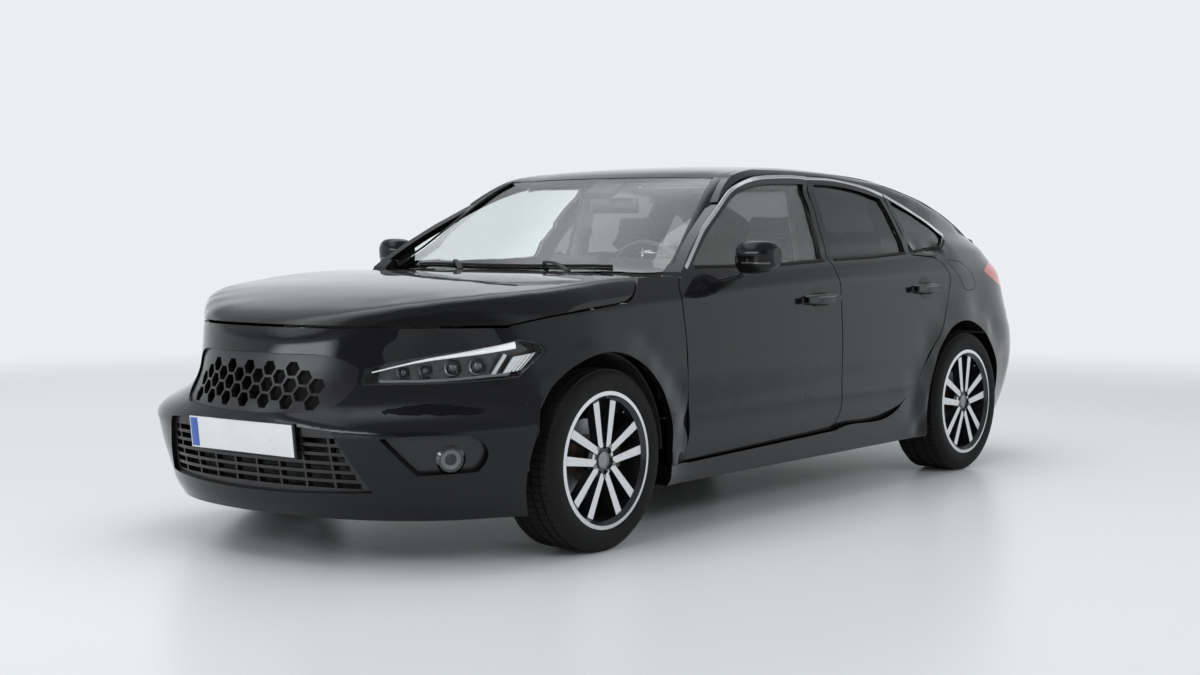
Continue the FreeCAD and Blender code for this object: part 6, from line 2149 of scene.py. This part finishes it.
@dataclass
class Cabin:
    """Lining of the cabin: headliner, dash details, console, pillar trims and belts."""

    cards: tuple[tuple[str, float, float], ...] = (("front", -0.13, 0.66), ("rear", -0.8, -0.4))
    post_foot: Triple = (-0.262, 0.735, 0.285)
    post_top: Triple = (-0.362, 0.552, 1.29)
    belt_foot: Triple = (-0.24, 0.665, 0.3)

    def build(self) -> None:
        """Makes the cabin's pieces."""
        self.headliner()
        self.dash()
        self.console()
        self.pillars()
        for side in Side:
            for name, low, high in self.cards:
                self.door_card(side, name, low, high - low)

    @staticmethod
    def end(shape: Shape, name: str, finish: Finish, sharp: float = 0.6) -> None:
        """Ends a piece of the cabin's plastic."""
        shape.piece(name, finish, "shell", "cabin_plastic", sharp=sharp)

    def headliner(self) -> None:
        """Hangs a cloth headliner and two sun visors under the roof."""
        skin = Skin("roof")
        liner, visors, edges = Shape(), Shape(), Shape()

        def place(u: float, v: float) -> Vector:
            """Returns a point of the headliner.

            Args:
                u: The share forwards.
                v: The share across the car.

            Returns:
                The point.
            """
            x, y = -1.03 + 1.19 * u, -0.5 + v
            found = skin.above(x, min(max(y, -0.53), 0.53))
            height = found[0].z if found else 1.34
            return Vector((x, y, height - 0.036 - 0.02 * abs(2 * v - 1) ** 4))

        liner.sheet(48, 32, place, 0.004)
        self.end(liner, "headliner", CABIN_PALE, 1.2)
        for across in (0.12, -0.5):
            top = place(0.97, 0.5).z - 0.012
            turn = tilted((0.1, 0, top), 9)
            visors.block((-0.075, across, -0.012), (0.075, across + 0.38, 0.002), 0.006, turn)
            ends = [turn @ Vector((0.07, across + far, -0.004)) for far in (0.02, 0.36)]
            edges.rod(*ends, 0.0055, sides=20, rounding=0.002)
        self.end(visors, "sun_visors", CABIN_PALE)
        self.end(edges, "visor_rods", CABIN_GREY)

    def dash(self) -> None:
        """Fits the vent band, the middle screen and the instruments' display to the dashboard."""
        band, slats, screens, frames = Shape(), Shape(), Shape(), Shape()
        face = Skin("dashboard").hit((-0.5, 0.0, 0.8), (1, 0, 0))[0].x
        band.block((face - 0.012, -0.6, 0.775), (face + 0.004, 0.6, 0.833), 0.006)
        for y in spread(-0.585, 1.17, 92):
            slats.block((face - 0.0155, y - 0.0016, 0.781), (face - 0.011, y + 0.0016, 0.827), 0.0)
        self.end(band, "vent_band", PIANO_BLACK)
        self.end(slats, "vent_slats", DARK_CHROME)
        tilt = tilted((face - 0.02, 0.0, 0.94), -8)
        frames.block((-0.004, -0.125, -0.075), (0.014, 0.125, 0.075), 0.005, tilt)
        screens.block((-0.0052, -0.118, -0.066), (-0.0032, 0.118, 0.068), 0.0008, tilt)
        tilt = tilted((face, 0.37, 0.945), -12)
        frames.block((-0.012, -0.155, -0.065), (0.03, 0.155, 0.06), 0.012, tilt)
        screens.block((-0.0135, -0.135, -0.045), (-0.0115, 0.135, 0.045), 0.0008, tilt)
        self.end(frames, "display_frames", TRIM_BLACK)
        self.end(screens, "display_glass", SCREEN_DARK)

    def console(self) -> None:
        """Makes the console, its armrest, the gear lever and the cup wells."""
        body, pad, lever = Shape(), Shape(), Shape()
        body.block((-0.28, -0.095, 0.44), (0.4, 0.095, 0.565), 0.018)
        body.block((0.2, -0.105, 0.5), (0.44, 0.105, 0.66), 0.03, tilted((0, 0, 0), -6))
        pad.block((-0.28, -0.088, 0.566), (0.0, 0.088, 0.612), 0.016)
        well = [(0.036, 0.0), (0.04, 0.004), (0.038, 0.006), (0.034, 0.002), (0.032, -0.03), (0.0, -0.032)]
        for x in (0.075, 0.16):
            lever.lathe(well, (x, -0.045, 0.566), (0, 0, 1), 40)
        lever.rod((0.2, 0.04, 0.565), (0.19, 0.04, 0.66), 0.008, 0.006, 20)
        lever.lathe([(0.0, 0.05), (0.016, 0.046), (0.022, 0.03), (0.02, 0.01), (0.012, 0.0), (0.0, 0.0)],
                    (0.19, 0.04, 0.65), (0, 0, 1), 32)
        self.end(body, "console", CABIN_GREY)
        self.end(pad, "console_armrest", SEAT_SIDE)
        self.end(lever, "gear_lever", PIANO_BLACK)

    def pillars(self) -> None:
        """Stands up the middle posts, covers them inside, and hangs the front belts on them."""
        posts, trims, belts, rings = Shape(), Shape(), Shape(), Shape()
        low, high = Vector(self.post_foot), Vector(self.post_top)
        path = [low.lerp(high, s) + Vector((0, 0.02 * math.sin(math.pi * s), 0)) for s in spread(0, 1, 25)]
        inward = [Vector((0, -1, -0.1)).normalized()] * 25
        widths = [1.5 - 0.5 * min(1.0, i / 8) for i in range(25)]
        posts.sweep(path, inward, [(-0.056, -0.001), (0.056, -0.001), (0.052, -0.02), (0.04, -0.024),
                                   (-0.04, -0.024), (-0.052, -0.02)], widths)
        trims.sweep(path, inward, [(-0.05, -0.002), (-0.046, 0.008), (-0.03, 0.014), (0.03, 0.014),
                                   (0.046, 0.008), (0.05, -0.002)], widths)
        anchor = path[20] + Vector((0, -0.02, 0))
        strap = [anchor.lerp(Vector(self.belt_foot), s) + Vector((0, -0.012, 0)) for s in spread(0, 1, 31)]
        webbing = [(-0.023, 0.0), (-0.023, 0.0014), (0.023, 0.0014), (0.023, 0.0)]
        belts.sweep(strap, [Vector((0, -1, 0))] * 31, webbing)
        rings.block(anchor - Vector((0.03, 0.018, 0.016)), anchor + Vector((0.03, 0.004, 0.016)), 0.006)
        for shape in (posts, trims, belts, rings):
            shape.mirror()
        posts.piece("middle_posts", TRIM_BLACK, "shell", "black_plastic")
        self.end(trims, "pillar_trims", CABIN_PALE)
        belts.piece("seat_belts", BELT_WEBBING, "shell", "seat_cloth")
        self.end(rings, "belt_guides", TRIM_BLACK)

    def door_card(self, side: Side, name: str, low: float, span: float) -> None:
        """Lines a door with a moulded card and an armrest.

        Args:
            side: The side of the car.
            name: Which of its doors.
            low: The x of the card's rear edge.
            span: The card's length.
        """
        skin = Skin(f"door_{name}_left")
        card, rest = Shape(), Shape()
        body = f"door_{name}_{side.word}"

        def inner(x: float, z: float) -> float:
            """Returns how far out the door's inner face is."""
            found = skin.hit((x, 0.0, z), (0, 1, 0))
            return found[0].y if found else 0.8

        def place(u: float, v: float) -> Vector:
            """Returns a point of the card.

            Args:
                u: The share forwards.
                v: The share upwards.

            Returns:
                The point.
            """
            x, z = low + span * u, 0.38 + 0.5 * v
            ridge = 0.012 * math.exp(-((v - 0.62) / 0.12) ** 2)
            raised = ridge + 0.006 * math.sin(math.pi * u) * (v > 0.1)
            return Vector((x, inner(x, z) - 0.003 - raised, z)) * side.flip

        card.sheet(40, 28, place, 0.002)
        card.piece(f"door_card_{name}_{side.word}", CABIN_GREY, body, "cabin_plastic", sharp=1.2)
        start, length = low + span * 0.18, span * 0.5
        y = inner(start + length / 2, 0.66) - 0.03
        first = Vector((start, y - 0.03, 0.64)) * side.flip
        last = Vector((start + length, y + 0.026, 0.685)) * side.flip
        corners = list(zip(first, last))
        rest.block([min(pair) for pair in corners], [max(pair) for pair in corners], 0.014)
        rest.piece(f"door_armrest_{name}_{side.word}", SEAT_SIDE, body, "cabin_plastic")


@dataclass
class Tail:
    """Rear details: high stop lamp, plate, bumper insert with fins, reflectors and fuel flap."""

    flap_corners: tuple[Pair, ...] = (
        (-1.318, 0.986), (-1.43, 0.975), (-1.5, 0.93), (-1.53, 0.868), (-1.512, 0.846), (-1.43, 0.842),
        (-1.39, 0.862), (-1.345, 0.925), (-1.312, 0.968), (-1.318, 0.986))

    def build(self) -> None:
        """Makes the rear pieces."""
        self.bumper()
        self.stop_lamp()
        self.flap()
        NumberPlate("rear", "tailgate", (-2.2405, 0.0, 0.79), 0.0, -1).build()

    @staticmethod
    def astern(skin: Skin, y: float, z: float) -> Hit | None:
        """Returns the point and direction seen straight from behind."""
        return skin.hit((-3.5, y, z), (1, 0, 0))

    def bumper(self) -> None:
        """Lays the black lower insert with fins, and the reflectors."""
        skin = Skin("rear_bumper")
        insert, fins, reflectors = Shape(), Shape(), Shape()

        def place(u: float, v: float) -> Vector:
            """Returns a point of the insert.

            Args:
                u: The share across the car.
                v: The share upwards.

            Returns:
                The point.
            """
            y, z = -0.56 + 1.12 * u, 0.222 + 0.118 * v
            found = self.astern(skin, y, z)
            return (found[0] if found else Vector((-2.2, y, z))) + Vector((-0.0022, 0, 0))

        insert.sheet(60, 10, place, 0.0015)
        insert.piece("rear_bumper_insert", UNDER_BLACK, "shell", "black_plastic", sharp=1.2)
        for y in (-0.3, -0.1, 0.1, 0.3):
            x = place((y + 0.56) / 1.12, 0.4).x
            fins.block((x - 0.012, y - 0.004, 0.232), (x + 0.02, y + 0.004, 0.318), 0.003)
        fins.piece("rear_bumper_fins", TRIM_BLACK, "shell", "black_plastic")
        path = [self.astern(skin, y, 0.36) for y in spread(0.62, 0.14, 13)]
        reflectors.sweep(*parted(path), strip_section(0.022, 0.004))
        reflectors.mirror()
        # The reflectors take the red lens's emission too: a painted glow on parts that are no lamp.
        reflectors.piece("rear_reflectors", RED_LENS, "shell", "lamp_red")

    def stop_lamp(self) -> None:
        """Lays the high stop lamp along the top of the tailgate's glass."""
        skin = Skin("tailgate_glass", "tailgate")
        lamp = Shape()
        hits = [skin.above(-1.165, y) for y in spread(-0.17, 0.34, 25)]
        lamp.sweep(*parted(hits), strip_section(0.018, 0.005))
        lamp.piece("high_stop_lamp", RED_LENS, "tailgate", "lamp_red")

    def flap(self) -> None:
        """Draws the fuel flap's shut line on the left rear quarter."""
        skin = Skin("body_side_left")
        hits = [skin.beside(x, z) for x, z in smooth_line(self.flap_corners, 90)]
        line = Shape()
        line.sweep(*parted([found for found in hits if found and found[0].y > 0.5]),
                   [(-0.0016, -0.0005), (-0.0016, 0.0004), (0.0016, 0.0004), (0.0016, -0.0005)])
        line.piece("fuel_flap_line", SEAL_BLACK, "shell", "black_plastic")


@dataclass
class AirDuct:
    """Dark honeycomb mesh behind the lower opening's slats."""

    half: float = 0.49
    low: float = 0.25
    high: float = 0.482
    depth: float = 0.075
    solid_row: float = 0.497

    def build(self) -> None:
        """Makes the mesh, following the nose at a distance."""
        skin = Skin("front_bumper")
        shape = Shape()

        def place(u: float, v: float) -> Vector:
            """Returns a point of the mesh.

            Args:
                u: The share across the car.
                v: The share upwards.

            Returns:
                The point.
            """
            y, z = self.half * (2 * u - 1), self.low + (self.high - self.low) * v
            found = skin.ahead(y, self.solid_row)
            nose = found[0].x if found else 2.2
            return Vector((nose - self.depth - 0.03 * (1 - v), y, z))

        shape.sheet(96, 24, place, 0.002)
        shape.piece("lower_duct_mesh", DUCT_MESH, "shell", "grille_black", sharp=1.2)


def main() -> None:
    """Builds the scene in order."""
    logging.basicConfig(level=logging.INFO, format="%(message)s")
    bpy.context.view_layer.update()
    Studio().build()
    Panels().dress()
    for side in Side:
        Wheel("front", side, FRONT_AXLE, 0.7735).build()
        Wheel("rear", side, REAR_AXLE, 0.7875).build()
        WindowTrim(side).build()
        Headlamp(side).build()
        FogLamp(side).build()
        DoorMirror(side).build()
    for side in Side:
        DoorHandle("front", side, (-0.2155, 0.0695), 0.842).build()
        DoorHandle("rear", side, (-1.1355, -0.8755), 0.862).build()
    ScreenTrim().build()
    AirDuct().build()
    Tail().build()
    Cabin().build()
    Seats().build()
    NumberPlate("front", "shell", (2.2655, 0.0, 0.4265), 0.11, 1).build()
    Wiper("driver", (0.945, 0.36), (0.48, -0.1)).build()
    Wiper("passenger", (0.94, -0.2), (-0.04, -0.56)).build()


if __name__ == "__main__":
    main()
